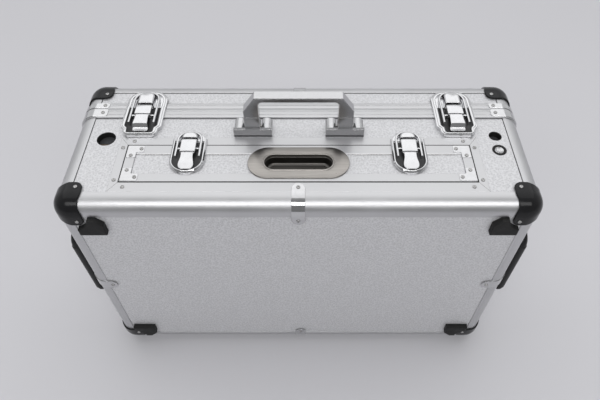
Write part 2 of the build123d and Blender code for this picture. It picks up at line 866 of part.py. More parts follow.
def slide_channel(x0, x1, y_half, web_side):
    """A straight channel along the drawer's travel, with its web at one side."""
    bar = block(x0, x1, tray_middle - y_half, tray_middle + y_half, tray_bottom, slide_top)
    hollow_x0 = x0 + slide_wall if web_side < 0 else x0 - 1
    hollow_x1 = x1 - slide_wall if web_side > 0 else x1 + 1
    inner = y_half - slide_wall
    hollow = block(
        hollow_x0, hollow_x1, tray_middle - inner, tray_middle + inner, tray_bottom - 1, slide_top + 1
    )
    return bar - hollow


def drawer_guides():
    """The fixed channels on the bay's side boards."""
    x0 = tray_half + slide_wall + slide_clearance
    return group(both_sides(slide_channel(x0, bay_half, slide_height / 2, 1)))


def drawer_runners():
    """The sliding channels on the drawer's sides, inside the fixed ones."""
    x1 = bay_half - slide_wall - slide_clearance
    y_half = slide_height / 2 - slide_wall - slide_clearance
    return group(both_sides(slide_channel(tray_half, x1, y_half, -1)))


def bay_boards():
    """The boards at the sides and the bottom of the drawer's bay."""
    side = block(bay_half, bay_half + bay_board, inside, divider_y, bay_floor, top - inside)
    floor_x = bay_half + bay_board
    floor = block(-floor_x, floor_x, inside, divider_y, bay_floor - bay_bottom_board, bay_floor)
    return group(both_sides(side), floor)


def divider_panel():
    """The wall between the drawer's bay and the main compartment."""
    x = half_width - inside
    return block(-x, x, divider_y, divider_back, inside, top - inside)


def lining_tray(y_open, y_base):
    """An open foam tray: four walls and a base, open at the first depth."""
    y0, y1 = sorted((y_open, y_base))
    radius = bead_radius - lining_inset
    tray = frame_bar(lining_inset, y0, y1, radius)
    step = lining if y_base < y_open else -lining
    h0, h1 = sorted((y_base + step, y_open + step))
    return tray - frame_bar(lining_inset + lining, h0, h1, radius - lining)


def flush_pull():
    """The pull: a stadium plate with a rolled lip round a finger cup."""
    plate = extrude(RectangleRounded(pull_length, pull_height, pull_height / 2 - 0.2), pull_plate)
    plate = fillet(plate.faces().sort_by(Axis.Z)[-1].edges(), 0.5)
    lip_length = pull_slot_length + 2 * pull_rim
    lip_height = pull_slot_height + 2 * pull_rim
    lip = extrude(SlotOverall(lip_length, lip_height), pull_plate + pull_rim_proud)
    lip = fillet(lip.faces().sort_by(Axis.Z)[-1].edges(), pull_rim * 0.5)
    cup_outline = SlotOverall(pull_slot_length + 2 * pull_wall, pull_slot_height + 2 * pull_wall)
    cup = extrude(cup_outline, -pull_depth)
    solid = plate + lip + cup
    hollow = extrude(SlotOverall(pull_slot_length, pull_slot_height), pull_depth + 10)
    hollow = Pos(0, 0, pull_wall - pull_depth) * hollow
    hollow = fillet(hollow.faces().sort_by(Axis.Z)[0].edges(), 3.0)
    solid -= hollow
    mouth = solid.faces().sort_by(Axis.Z)[-1].inner_wires()[0].edges()
    return Pos(0, pull_centre(), drawer_top) * fillet(mouth, pull_rim_proud * 0.6)


def handle_base():
    """The right-hand base: two lugs with round ends, a front wall and the stop that the bow leans on."""
    x0 = leg_centre - handle_base_width / 2
    x1 = leg_centre + handle_base_width / 2
    low = top - panel_face
    high = top + handle_base_height
    y0 = handle_front_y
    base = block(x0, x1, y0, y0 + handle_stop_wall, low, high)
    for a, b in ((x0, leg_centre - lug_inner), (leg_centre + lug_inner, x1)):
        radius = (b - a) / 2
        y_round = y0 + handle_lug_reach - radius
        lug = block(a, b, y0, y_round, low, high) + rod(((a + b) / 2, y_round, low), UP, radius, high - low)
        lug = fillet(lug.faces().sort_by(Axis.Z)[-1].edges().sort_by(Axis.Y)[1:], 0.8)
        base += lug
    half = handle_leg_width / 2
    base += block(leg_centre - half, leg_centre + half, y0, y0 + handle_stop_wall, low, top + handle_stop_height)
    hole_start = (x0 + 3.0, handle_pin_y, handle_pin_z)
    return base - rod(hole_start, (1, 0, 0), handle_pin_radius + pin_clearance, handle_base_width - 6.0)


def handle_pin():
    """The right-hand pin, held in the two lugs of its base."""
    length = handle_base_width - 6.4
    return rod((leg_centre - length / 2, handle_pin_y, handle_pin_z), (1, 0, 0), handle_pin_radius, length)


def handle_bow():
    """The bow: two legs, chamfered shoulders and a square grip, with heels round the pins."""
    outer = leg_centre + handle_leg_width / 2
    inner = leg_centre - handle_leg_width / 2
    outline = Polyline(
        (-outer, handle_pin_height), (-outer, handle_chamfer_low), (-handle_top_half, handle_top),
        (handle_top_half, handle_top), (outer, handle_chamfer_low), (outer, handle_pin_height),
        (inner, handle_pin_height), (inner, handle_underside), (-inner, handle_underside),
        (-inner, handle_pin_height), close=True,
    )
    plane = Plane(origin=(0, handle_front_y, top), x_dir=(1, 0, 0), z_dir=(0, -1, 0))
    bow = extrude(plane * make_face(outline), -handle_depth)
    inner_corners = bow.edges().filter_by(Axis.Y).filter_by(
        lambda e: abs(abs(e.center().X) - inner) < 0.01 and e.center().Z > top + handle_underside - 0.01
    )
    bow = fillet(inner_corners, handle_inner_radius)
    grip_edges = bow.edges().filter_by(Axis.X).filter_by(lambda e: e.center().Z > top + handle_top - 0.01)
    bow = chamfer(grip_edges, 1.6)
    heel_y = handle_pin_y
    for side in (-1, 1):
        x = side * leg_centre - handle_leg_width / 2
        bow += rod((x, heel_y, handle_pin_z), (1, 0, 0), handle_heel_radius, handle_leg_width)
        notch_back = handle_front_y + handle_stop_wall + handle_gap
        bow -= block(
            x - 1, x + handle_leg_width + 1, handle_front_y - 1, notch_back,
            top, top + handle_stop_height + handle_gap
        )
        bow -= rod((x - 1, heel_y, handle_pin_z), (1, 0, 0), handle_pin_radius + pin_clearance, handle_leg_width + 2)
    return bow


def bail():
    """The right-hand bail: a bent rod with a thicker grip and an eye at each end."""
    bar_x = half_width + bail_stand_off
    path = FilletPolyline(
        (bail_pivot_x, bail_pivot_y, bail_upper_z), (bar_x, bail_bar_y, bail_upper_z),
        (bar_x, bail_bar_y, bail_lower_z), (bail_pivot_x, bail_pivot_y, bail_lower_z),
        radius=bail_bend_radius,
    )
    section = Plane(origin=path @ 0, z_dir=path % 0) * Circle(bail_arm_radius)
    handle = sweep(section, path=path)
    grip_low = bail_lower_z + bail_bend_radius
    grip = rod((bar_x, bail_bar_y, grip_low), UP, bail_bar_radius, bail_upper_z - bail_bend_radius - grip_low)
    handle += fillet(grip.edges().filter_by(GeomType.CIRCLE), 0.9)
    for z in (bail_upper_z, bail_lower_z):
        low = (bail_pivot_x, bail_pivot_y, z - bail_eye_height / 2)
        handle += rod(low, UP, bail_eye_radius, bail_eye_height)
        handle -= rod((bail_pivot_x, bail_pivot_y, z - 20), UP, bail_pivot_radius + pin_clearance, 40)
    return handle


def bail_mount(z):
    """A right-hand mount: a plate on the end panel with two cheeks round the bail's eye."""
    face = half_width - panel_face
    plate_x = half_width + mount_plate
    y0 = bail_pivot_y - mount_width / 2
    y1 = bail_pivot_y + mount_width / 2
    plate = block(face, plate_x, y0, y1, z - mount_length / 2, z + mount_length / 2)
    plate = fillet(plate.edges().filter_by(Axis.X), 4.0)
    mount = fillet(plate.faces().sort_by(Axis.X)[-1].edges(), 0.6)
    start = bail_eye_height / 2 + cheek_clearance
    for side in (-1, 1):
        low = z + side * start if side > 0 else z - start - mount_cheek
        cheek = rod((bail_pivot_x, bail_pivot_y, low), UP, bail_eye_radius, mount_cheek)
        cheek += block(
            plate_x - 0.5, bail_pivot_x, bail_pivot_y - bail_eye_radius, bail_pivot_y + bail_eye_radius,
            low, low + mount_cheek
        )
        mount += cheek
    hole_low = z - start - mount_cheek
    return mount - rod((bail_pivot_x, bail_pivot_y, hole_low - 1), UP, bail_pivot_radius + pin_clearance, tool_reach)


def bail_pin(z):
    """A right-hand bail pin with a thin head."""
    length = bail_eye_height + 2 * cheek_clearance + 2 * mount_cheek
    low = z - length / 2
    pin = rod((bail_pivot_x, bail_pivot_y, low), UP, bail_pivot_radius, length)
    return pin + rod((bail_pivot_x, bail_pivot_y, low + length), UP, bail_pivot_radius + 1.2, 1.0)


def plan_face(half, y0, y1, front_radius=0.0, back_radius=0.0):
    """A rectangle in plan, centred across, with rounded front or back corners."""
    face = Pos(0, (y0 + y1) / 2) * Rectangle(2 * half, y1 - y0)
    if front_radius:
        face = fillet(face.vertices().sort_by(Axis.Y)[:2], front_radius)
    if back_radius:
        face = fillet(face.vertices().sort_by(Axis.Y)[-2:], back_radius)
    return face


def raised(face, z0, z1):
    """A plan outline drawn up between two heights."""
    return Pos(0, 0, z0) * extrude(face, z1 - z0)


def sheet_strip(points, lean, half):
    """A bent sheet across the latch: its top line in the YZ plane, given the sheet's thickness."""
    low = [(y + lean, z - latch_sheet) for y, z in reversed(points)]
    face = make_face(Polyline(*points, *low, close=True))
    return extrude(Plane(origin=(-half, 0, 0), x_dir=(0, 1, 0), z_dir=(1, 0, 0)) * face, 2 * half)


def tapered_plan(widths):
    """A plan outline from a list of half widths and depths, the same on both sides."""
    right = [(half, y) for half, y in widths]
    left = [(-half, y) for half, y in reversed(widths)]
    return make_face(Polyline(*right, *left, close=True))


def latch_lever(points, widths, lean, half, pivot, crank, seat, pin_radius):
    """A latch lever: a bent sheet with two cheeks down to its pivot and its crank pin."""
    pivot_y, pivot_z = pivot
    crank_y, crank_z = crank
    high = points[0][1]
    sheet = sheet_strip(points, lean, half + 1) & raised(tapered_plan(widths), seat, high + 5)
    cheek_low = crank_z - pin_radius - 0.8
    cheek_front = crank_y - pin_radius - 2.0
    under = high - latch_sheet
    reach = 30.0
    behind = block(-half, half, pivot_y, pivot_y + reach, seat - reach, seat + reach)
    top_radius = high - pivot_z
    heel_radius = pivot_z - seat - latch_plate - latch_gap
    sheet -= behind - rod((-half, pivot_y, pivot_z), (1, 0, 0), top_radius, 2 * half)
    lever = sheet
    for side in (-1, 1):
        x0, x1 = sorted((side * half, side * (half - latch_sheet)))
        cheek = block(x0, x1, cheek_front, pivot_y, cheek_low, under)
        corners = cheek.edges().filter_by(Axis.X).sort_by(lambda e: e.center().Y + e.center().Z)
        cheek = chamfer(corners[0], 1.5)
        heel = rod((x0, pivot_y, pivot_z), (1, 0, 0), heel_radius, latch_sheet)
        lever += cheek + heel
    for y, z in (pivot, crank):
        lever -= rod((-half - 1, y, z), (1, 0, 0), pin_radius + pin_clearance, 2 * half + 2)
    return lever


def latch_link(half, end, low, high, crank, lever_half, pin_radius):
    """The loop that a lever pulls: two arms joined by an arch, with a stub pin on each arm."""
    crank_y, crank_z = crank
    start = crank_y - pin_radius - 2.0
    outer = plan_face(half, start, end, back_radius=half - 1.5)
    inner_half = half - latch_arm
    inner = plan_face(inner_half, start - 1, end - latch_arm, back_radius=inner_half - 1.5)
    link = raised(outer - inner, low, high)
    rim = link.faces().sort_by(Axis.Z)[-1].outer_wire().edges()
    link = fillet(rim, 1.1)
    for side in (-1, 1):
        x0, x1 = sorted((side * (lever_half - latch_sheet), side * (half - latch_arm + 0.5)))
        link += rod((x0, crank_y, crank_z), (1, 0, 0), pin_radius, x1 - x0)
    return link


def latch_ears(lever_half, pivot, seat, ear_radius):
    """Two ears inside the lever's cheeks, on a base plate."""
    pivot_y, pivot_z = pivot
    outer = lever_half - latch_sheet - cheek_clearance
    ears = []
    for side in (-1, 1):
        x0, x1 = sorted((side * outer, side * (outer - latch_ear)))
        ear = rod((x0, pivot_y, pivot_z), (1, 0, 0), ear_radius, x1 - x0)
        ear += block(x0, x1, pivot_y - ear_radius, pivot_y + ear_radius, seat + latch_plate / 2, pivot_z)
        ears.append(ear)
    return ears


def latch_pin(lever_half, pivot, pin_radius):
    """The pin through a lever's cheeks and its base's ears."""
    pivot_y, pivot_z = pivot
    length = 2 * lever_half + 1.0
    return rod((-length / 2, pivot_y, pivot_z), (1, 0, 0), pin_radius, length)


def ear_bore(lever_half, pivot, pin_radius):
    """The bore for a latch's pin."""
    pivot_y, pivot_z = pivot
    return rod((-lever_half, pivot_y, pivot_z), (1, 0, 0), pin_radius + pin_clearance, 2 * lever_half)


def domed_keeper(half, y0, y1, low, high):
    """The dome that a link's arch pulls on: rounded at the back and over the top, square at the front."""
    dome = raised(plan_face(half, y0, y1, back_radius=half * 0.85), low, high)
    top_edges = dome.faces().sort_by(Axis.Z)[-1].edges().sort_by(Axis.Y)[1:]
    return fillet(top_edges, 2.4)


def lid_lever():
    """The lever of a lid latch: flat plate, flared plate, steep step and finger lip."""
    high = lid_latch_seat + lid_latch_height
    mid = high - 0.6
    foot = lid_latch_seat + lid_latch_tip_height
    points = [
        (lid_latch_pivot_y + 6.0, high), (lid_latch_bend_y, high), (lid_latch_bend_y - 0.5, mid),
        (lid_latch_step_y, mid), (lid_latch_step_foot_y, foot), (lid_latch_tip_y, foot - 0.7),
    ]
    widths = [
        (lid_latch_lever_half, lid_latch_pivot_y + 6.0), (lid_latch_lever_half, lid_latch_bend_y),
        (lid_latch_waist_half, lid_latch_bend_y - 0.6), (lid_latch_waist_half + 0.8, lid_latch_step_y),
        (lid_latch_tip_half, lid_latch_step_foot_y), (lid_latch_tip_half - 2.6, lid_latch_tip_y),
    ]
    return latch_lever(
        points, widths, 0.7, lid_latch_lever_half, (lid_latch_pivot_y, lid_latch_pivot_z),
        (lid_latch_crank_y, lid_latch_crank_z), lid_latch_seat, lid_latch_pin_radius,
    )


def lid_link():
    """The loop of a lid latch."""
    return latch_link(
        lid_latch_link_half, lid_latch_link_end, lid_latch_seat + lid_latch_link_low,
        lid_latch_seat + lid_latch_link_high, (lid_latch_crank_y, lid_latch_crank_z),
        lid_latch_lever_half, lid_latch_pin_radius,
    )


def lid_latch_outline(inset):
    """The plan of a lid latch's base: narrow at the front, with shoulders, drawn in by an inset."""
    front = lid_latch_front + inset
    near = lid_latch_half_front - inset
    wide = lid_latch_half - inset
    shoulder = lid_latch_shoulder_y + inset
    back = body_depth - 0.2 + inset
    face = tapered_plan([(near, front), (near, shoulder), (wide, shoulder + 4.0), (wide, back)])
    return fillet(face.vertices().sort_by(Axis.Y)[:2], lid_latch_corner_radius - inset)


def lid_latch_base():
    """The base of a lid latch: a raised tray on the body rim with a skirt down to the top panel."""
    seat = lid_latch_seat
    skirt_low = top - panel_face
    rim = raised(lid_latch_outline(0), skirt_low, seat + lid_latch_rim_height)
    rim = chamfer(rim.faces().sort_by(Axis.Z)[-1].edges().sort_by(Axis.Y)[:-1], 0.9)
    rim -= raised(lid_latch_outline(latch_rim_wall), skirt_low - 1, seat + lid_latch_rim_height + 1)
    clear_x = lid_latch_half + 5
    rim -= block(-clear_x, clear_x, rim_start - seat_clearance, body_depth + 5, skirt_low - 1, seat)
    plate = raised(lid_latch_outline(latch_rim_wall / 2), seat, seat + latch_plate)
    plate &= block(-clear_x, clear_x, lid_latch_front, body_depth - 0.2, seat, seat + latch_plate)
    base = rim + plate
    for ear in latch_ears(lid_latch_lever_half, lid_pivot(), seat, lid_latch_height - latch_sheet
                          - lid_latch_pivot_height - cheek_clearance):
        base += ear
    return base - ear_bore(lid_latch_lever_half, lid_pivot(), lid_latch_pin_radius)


def lid_pivot():
    """Depth and height of a lid lever's pivot."""
    return lid_latch_pivot_y, lid_latch_pivot_z


def drawer_pivot():
    """Depth and height of a drawer lever's pivot."""
    return drawer_latch_pivot_y, drawer_latch_pivot_z


def lid_latch_keeper():
    """The keeper of a lid latch: a plate on the lid with a skirt and the dome."""
    seat = lid_latch_seat
    y0 = lid_front + 0.2
    y1 = lid_latch_keeper_end
    outline = plan_face(lid_latch_half, y0, y1, back_radius=lid_latch_keeper_radius)
    inner = plan_face(lid_latch_half - latch_rim_wall, y0, y1 - latch_rim_wall,
                      back_radius=lid_latch_keeper_radius - latch_rim_wall)
    plate = raised(outline, seat, seat + latch_plate)
    plate = fillet(plate.faces().sort_by(Axis.Z)[-1].edges().sort_by(Axis.Y)[1:], 0.6)
    skirt = raised(outline - inner, top - panel_face, seat)
    clear_x = lid_latch_half + 5
    skirt -= block(-clear_x, clear_x, y0 - 1, lid_rim_end + seat_clearance, top - 10, seat)
    dome_end = lid_latch_link_end - latch_arm - latch_gap
    high = seat + lid_latch_height + latch_gap
    return plate + skirt + domed_keeper(lid_latch_lever_half, y0, dome_end, seat, high)


def drawer_lever():
    """The lever of a drawer latch: a flat plate and a tongue that widens to a round end."""
    seat = drawer_latch_seat
    high = seat + drawer_latch_height
    tip = seat + drawer_latch_tip_height
    points = [
        (drawer_latch_pivot_y + 5.0, high), (drawer_latch_bend_y, high), (drawer_latch_bend_y - 0.5, high - 0.7),
        (drawer_latch_tip_y + 9.0, tip + 1.9), (drawer_latch_tip_y, tip),
    ]
    widths = [
        (drawer_latch_lever_half, drawer_latch_pivot_y + 5.0), (drawer_latch_lever_half, drawer_latch_bend_y),
        (drawer_latch_waist_half, drawer_latch_bend_y - 0.6), (drawer_latch_waist_half, drawer_latch_bend_y - 8.0),
        (drawer_latch_tip_half, drawer_latch_tip_y + 9.0), (drawer_latch_tip_half - 1.2, drawer_latch_tip_y + 3.6),
        (drawer_latch_tip_half - 4.6, drawer_latch_tip_y),
    ]
    return latch_lever(
        points, widths, 0.0, drawer_latch_lever_half, drawer_pivot(),
        (drawer_latch_crank_y, drawer_latch_crank_z), seat, drawer_latch_pin_radius,
    )


def drawer_link():
    """The loop of a drawer latch."""
    return latch_link(
        drawer_latch_link_half, drawer_latch_link_end, drawer_latch_seat + drawer_latch_link_low,
        drawer_latch_seat + drawer_latch_link_high, (drawer_latch_crank_y, drawer_latch_crank_z),
        drawer_latch_lever_half, drawer_latch_pin_radius,
    )


def drawer_latch_base():
    """The base of a drawer latch: a plate with a U-shaped rim whose arms reach over the surround."""
    seat = drawer_latch_seat
    high = seat + drawer_latch_rim_height
    half = drawer_latch_half
    outer = plan_face(half, drawer_latch_front, drawer_latch_arm_end, front_radius=half - 0.5)
    inner_half = half - latch_rim_wall
    inner = plan_face(inner_half, drawer_latch_front + latch_rim_wall, drawer_latch_arm_end + 1,
                      front_radius=inner_half - 0.5)
    rim = raised(outer, seat, high)
    rim = fillet(rim.faces().sort_by(Axis.Z)[-1].edges(), 0.8)
    rim -= raised(inner, seat - 1, high + 1)
    plate = raised(outer, seat, seat + latch_plate)
    plate &= block(-half, half, drawer_latch_front, drawer_back_y + 3.0, seat, high)
    base = rim + plate
    ear_radius = drawer_latch_height - latch_sheet - drawer_latch_pivot_height - cheek_clearance
    for ear in latch_ears(drawer_latch_lever_half, drawer_pivot(), seat, ear_radius):
        base += ear
    return base - ear_bore(drawer_latch_lever_half, drawer_pivot(), drawer_latch_pin_radius)


def drawer_latch_keeper():
    """The keeper of a drawer latch: a plate on the surround, stepped down to the panel, with the dome."""
    low = surround_top
    lever_swing = drawer_latch_height - drawer_latch_pivot_height
    y0 = drawer_latch_pivot_y + lever_swing + keeper_clearance
    edge = drawer_back_y + drawer_gap + surround_back + seat_clearance
    half = drawer_latch_keeper_half
    outline = plan_face(half, y0, drawer_latch_keeper_end, back_radius=half - 1.0)
    plate = raised(outline, low, low + latch_plate)
    plate = fillet(plate.faces().sort_by(Axis.Z)[-1].edges().sort_by(Axis.Y)[1:], 0.5)
    foot = raised(outline, top - panel_face, low)
    foot -= block(-half - 5, half + 5, y0 - 5, edge, top - 10, low)
    dome_end = drawer_latch_link_end - latch_arm - latch_gap
    high = drawer_latch_seat + drawer_latch_height + latch_gap
    return plate + foot + domed_keeper(drawer_latch_lever_half, y0, dome_end, low, high)


def hinge_room():
    """Clearance in the rims for the hinge barrels."""
    radius = hinge_knuckle_radius + knuckle_clearance
    length = hinge_length + 2 * knuckle_clearance
    room = rod((hinge_offset - length / 2, hinge_y, hinge_z), (1, 0, 0), radius, length)
    return both_sides(room)


def hinge_leaf_with_barrels(for_lid):
    """One leaf of the right-hand hinge, with its share of the barrel."""
    x0 = hinge_offset - hinge_length / 2
    step = hinge_length / hinge_knuckles
    low = -rim_proud - hinge_leaf
    if for_lid:
        leaf = block(x0, x0 + hinge_length, hinge_y, hinge_y + hinge_lid_leaf, low, -rim_proud)
    else:
        leaf = block(x0, x0 + hinge_length, hinge_y - hinge_body_leaf, hinge_y, low, -rim_proud)
    bore = rod((x0 - 1, hinge_y, hinge_z), (1, 0, 0), hinge_pin_radius + pin_clearance, hinge_length + 2)
    leaf -= rod((x0 - 1, hinge_y, hinge_z), (1, 0, 0), hinge_knuckle_radius, hinge_length + 2)
    for index in range(hinge_knuckles):
        start = x0 + index * step
        if (index % 2 == 1) == for_lid:
            length = step - knuckle_clearance
            barrel = rod((start + knuckle_clearance / 2, hinge_y, hinge_z), (1, 0, 0), hinge_knuckle_radius, length)
            leaf += barrel
        else:
            radius = hinge_knuckle_radius + knuckle_clearance
            leaf -= rod((start - knuckle_clearance / 2, hinge_y, hinge_z), (1, 0, 0), radius, step + knuckle_clearance)
    return leaf - bore


def hinge_rivets(for_lid):
    """Rivets under the hinge leaves."""
    z = -rim_proud - hinge_leaf
    y = hinge_y + hinge_lid_leaf - 3.2 if for_lid else hinge_y - hinge_body_leaf + 4.2
    spots = [hinge_offset - hinge_length / 3, hinge_offset, hinge_offset + hinge_length / 3]
    return [both_sides(rivet((x, y, z), (0, 0, -1))) for x in spots]


def hinge_pin():
    """The pin of the right-hand hinge."""
    start = (hinge_offset - hinge_length / 2, hinge_y, hinge_z)
    return rod(start, (1, 0, 0), hinge_pin_radius, hinge_length)


def mount_screws():
    """Screw heads on the right-hand bail mounts."""
    face = half_width + mount_plate
    reach = mount_length / 2 - 3.6
    heads = []
    for z in (bail_upper_z, bail_lower_z):
        heads += [rivet((face, bail_pivot_y, z + side * reach), (1, 0, 0)) for side in (-1, 1)]
    return heads


def body_rivets(bracket_rivets, strap_rivets):
    """Every rivet and screw head on the body."""
    heads = corner_set_list(corner_rivets(), False)
    heads += [copy for one in strap_rivets for copy in at_strap_places(one, False)]
    heads += bracket_rivets
    heads += [rivet((x, y, surround_top), UP) for x, y in surround_screw_places()]
    heads += [both_sides(one) for one in mount_screws()]
    heads += hinge_rivets(False)
    return group(heads)


def lid_rivets(bracket_rivets, strap_rivets):
    """Every rivet on the lid."""
    heads = corner_set_list(corner_rivets(), True)
    heads += [copy for one in strap_rivets for copy in at_strap_places(one, True)]
    heads += bracket_rivets
    heads += hinge_rivets(True)
    return group(heads)


def corner_set_list(shapes, at_back):
    """Several corner shapes at the four corners of the front or the back."""
    return [copy for shape in shapes for copy in corner_set(shape, at_back)]


def drawer_rivets():
    """The rivets on the drawer's corner plates."""
    z = drawer_top + drawer_plate_thickness
    return group([rivet((x, y, z), UP) for x, y in drawer_rivet_places()])


def at_x(shape, x):
    """A latch piece moved to its place across the case."""
    return Pos(x, 0, 0) * shape


def pair_at(shape, x):
    """A latch piece at both of its places."""
    return group(at_x(shape, x), at_x(shape, -x))


def moving_latch_parts():
    """The levers and links, which each move by themselves."""
    parts = {}
    for side, sign in (("right", 1), ("left", -1)):
        parts["lid_lever_" + side] = at_x(lid_lever(), sign * lid_latch_x)
        parts["lid_link_" + side] = at_x(lid_link(), sign * lid_latch_x)
        parts["drawer_lever_" + side] = at_x(drawer_lever(), sign * drawer_latch_x)
        parts["drawer_link_" + side] = at_x(drawer_link(), sign * drawer_latch_x)
    return parts


def fixed_latch_parts():
    """The bases, keepers and pins of the latches."""
    lid_pin = latch_pin(lid_latch_lever_half, lid_pivot(), lid_latch_pin_radius)
    drawer_pin = latch_pin(drawer_latch_lever_half, drawer_pivot(), drawer_latch_pin_radius)
    return {
        "lid_latch_bases": pair_at(lid_latch_base(), lid_latch_x),
        "lid_latch_pins": pair_at(lid_pin, lid_latch_x),
        "lid_latch_keepers": pair_at(lid_latch_keeper(), lid_latch_x),
        "drawer_latch_bases": pair_at(drawer_latch_base(), drawer_latch_x),
        "drawer_latch_pins": pair_at(drawer_pin, drawer_latch_x),
        "drawer_latch_keepers": pair_at(drawer_latch_keeper(), drawer_latch_x),
    }


def shell_parts():
    """Panels, extrusions, rims, corners, straps and brackets."""
    ball = ball_corner()
    strap, strap_rivets = strap_with_rivets()
    margin = (body_rim_width - body_bracket_width) / 2
    body_brackets, body_heads = rim_brackets(rim_start + margin, body_depth - margin)
    lid_margin = (lid_rim_width - lid_bracket_width) / 2
    lid_brackets, lid_heads = rim_brackets(lid_front + lid_margin, lid_rim_end - lid_margin)
    parts = face_panels()
    parts.update({
        "front_edge_profiles": front_beads(),
        "side_edge_profiles": side_beads(),
        "lid_edge_profiles": facing_back(front_beads()),
        "lid_side_profiles": lid_side_beads(),
        "body_rim": body_rim(),
        "lid_rim": lid_rim(),
        "front_corner_caps": group(corner_set(ball, False)),
        "lid_corner_caps": group(corner_set(ball, True)),
        "body_edge_straps": body_straps(strap),
        "lid_edge_straps": group(at_strap_places(strap, True)),
        "body_rim_brackets": body_brackets,
        "lid_rim_brackets": lid_brackets,
        "body_rivets": body_rivets(body_heads, strap_rivets),
        "lid_rivets": lid_rivets(lid_heads, strap_rivets),
        "front_pads": group(four_ways(front_pad())),
        "front_pad_screws": group(four_ways(pad_screw())),
        "base_feet": base_feet(),
        "body_lining": lining_tray(body_depth - 0.6, divider_back + seat_clearance),
        "lid_lining": lining_tray(body_depth + tongue_height + 2 * tongue_room, case_depth - inside - seat_clearance),
    })
    return parts


def drawer_parts():
    """The drawer, its bay and its slides."""
    return {
        "drawer_surround": drawer_surround(),
        "drawer_front_frame": drawer_frame(),
        "drawer_front_panel": drawer_panel(),
        "drawer_corner_plates": drawer_corner_plates(),
        "drawer_tray": drawer_box(),
        "drawer_runners": drawer_runners(),
        "drawer_rivets": drawer_rivets(),
        "flush_pull": flush_pull(),
        "drawer_guides": drawer_guides(),
        "bay_boards": bay_boards(),
        "divider_panel": divider_panel(),
        "socket_insert": socket_insert(),
    }


def handle_parts():
    """The carrying handle, the end bails and the lid's hinges."""
    right_bail = bail()
    mounts = [both_sides(bail_mount(z)) for z in (bail_upper_z, bail_lower_z)]
    pins = [both_sides(bail_pin(z)) for z in (bail_upper_z, bail_lower_z)]
    return {
        "handle_bases": group(both_sides(handle_base())),
        "handle_pins": group(both_sides(handle_pin()), pins),
        "handle_bow": handle_bow(),
        "bail_mounts": group(mounts),
        "bail_right": right_bail,
        "bail_left": mirror(right_bail, Plane.YZ),
        "hinge_body_leaves": group(both_sides(hinge_leaf_with_barrels(False))),
        "hinge_lid_leaves": group(both_sides(hinge_leaf_with_barrels(True))),
        "hinge_pins": group(both_sides(hinge_pin())),
    }


def all_parts():
    """Every node of the case by name."""
    parts = {}
    for made in (shell_parts(), drawer_parts(), handle_parts(), fixed_latch_parts(), moving_latch_parts()):
        parts.update(made)
    return parts


def to_origin(parts):
    """The shift that puts the origin under the middle of the whole case."""
    box = group(list(parts.values())).bounding_box()
    return Pos(-(box.min.X + box.max.X) / 2, -(box.min.Y + box.max.Y) / 2, -box.min.Z)


case = all_parts()
shift = to_origin(case)
os.makedirs("parts", exist_ok=True)
for name, shape in case.items():
    export_step(shift * shape, "parts/" + name + ".step")
print("nodes", len(case), "shift", tuple(shift.position))
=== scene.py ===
"""Finished look of an aluminium equipment case: lid, drawer, draw latches, ball corners and handles."""

import math
from types import SimpleNamespace

import bmesh
import bpy
import numpy as np
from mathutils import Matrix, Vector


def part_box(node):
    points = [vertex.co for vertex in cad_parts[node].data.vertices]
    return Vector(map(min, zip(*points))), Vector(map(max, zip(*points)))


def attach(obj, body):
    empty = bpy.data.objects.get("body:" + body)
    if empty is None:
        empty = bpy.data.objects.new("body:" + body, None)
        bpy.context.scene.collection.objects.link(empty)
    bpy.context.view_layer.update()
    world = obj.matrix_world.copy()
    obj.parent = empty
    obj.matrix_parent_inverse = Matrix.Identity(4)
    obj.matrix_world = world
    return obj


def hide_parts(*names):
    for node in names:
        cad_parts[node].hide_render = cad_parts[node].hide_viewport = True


bl_info = {
    "name": "Aluminium Equipment Case",
    "version": (1, 0, 0),
    "blender": (4, 5, 0),
    "location": "View3D > Sidebar > Case",
    "description": "Dresses the packed frame of an aluminium case with finished metal, board and mouldings",
    "category": "Add Mesh",
}

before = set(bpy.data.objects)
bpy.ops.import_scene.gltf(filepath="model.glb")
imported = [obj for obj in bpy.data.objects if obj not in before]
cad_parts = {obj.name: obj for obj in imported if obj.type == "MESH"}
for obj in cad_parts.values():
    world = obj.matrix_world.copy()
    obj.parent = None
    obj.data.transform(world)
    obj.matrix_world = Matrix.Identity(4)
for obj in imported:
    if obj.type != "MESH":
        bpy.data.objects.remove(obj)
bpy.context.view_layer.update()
shell_low, shell_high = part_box("front_edge_profiles")
WIDTH = (shell_high[0] - shell_low[0]) * 1000
HEIGHT = (shell_high[2] - shell_low[2]) * 1000
DEPTH = (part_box("lid_edge_profiles")[1][1] - shell_low[1]) * 1000
SIDE = WIDTH / 2
ORIGIN = np.array([(shell_low[0] + shell_high[0]) / 2, shell_low[1], shell_low[2]])
X, Y, Z = np.eye(3)
WELD = 0.002 * 0.001     # points nearer than this, in metres, become one


def length(name, description, default):
    """A length property in metres."""
    return bpy.props.FloatProperty(
        name=name, description=description, default=default, min=0.0, unit="LENGTH", subtype="DISTANCE",
        precision=4,
    )


def colour(name, description, default):
    """A linear colour property."""
    return bpy.props.FloatVectorProperty(
        name=name, description=description, default=default, min=0.0, max=1.0, size=3, subtype="COLOR",
    )


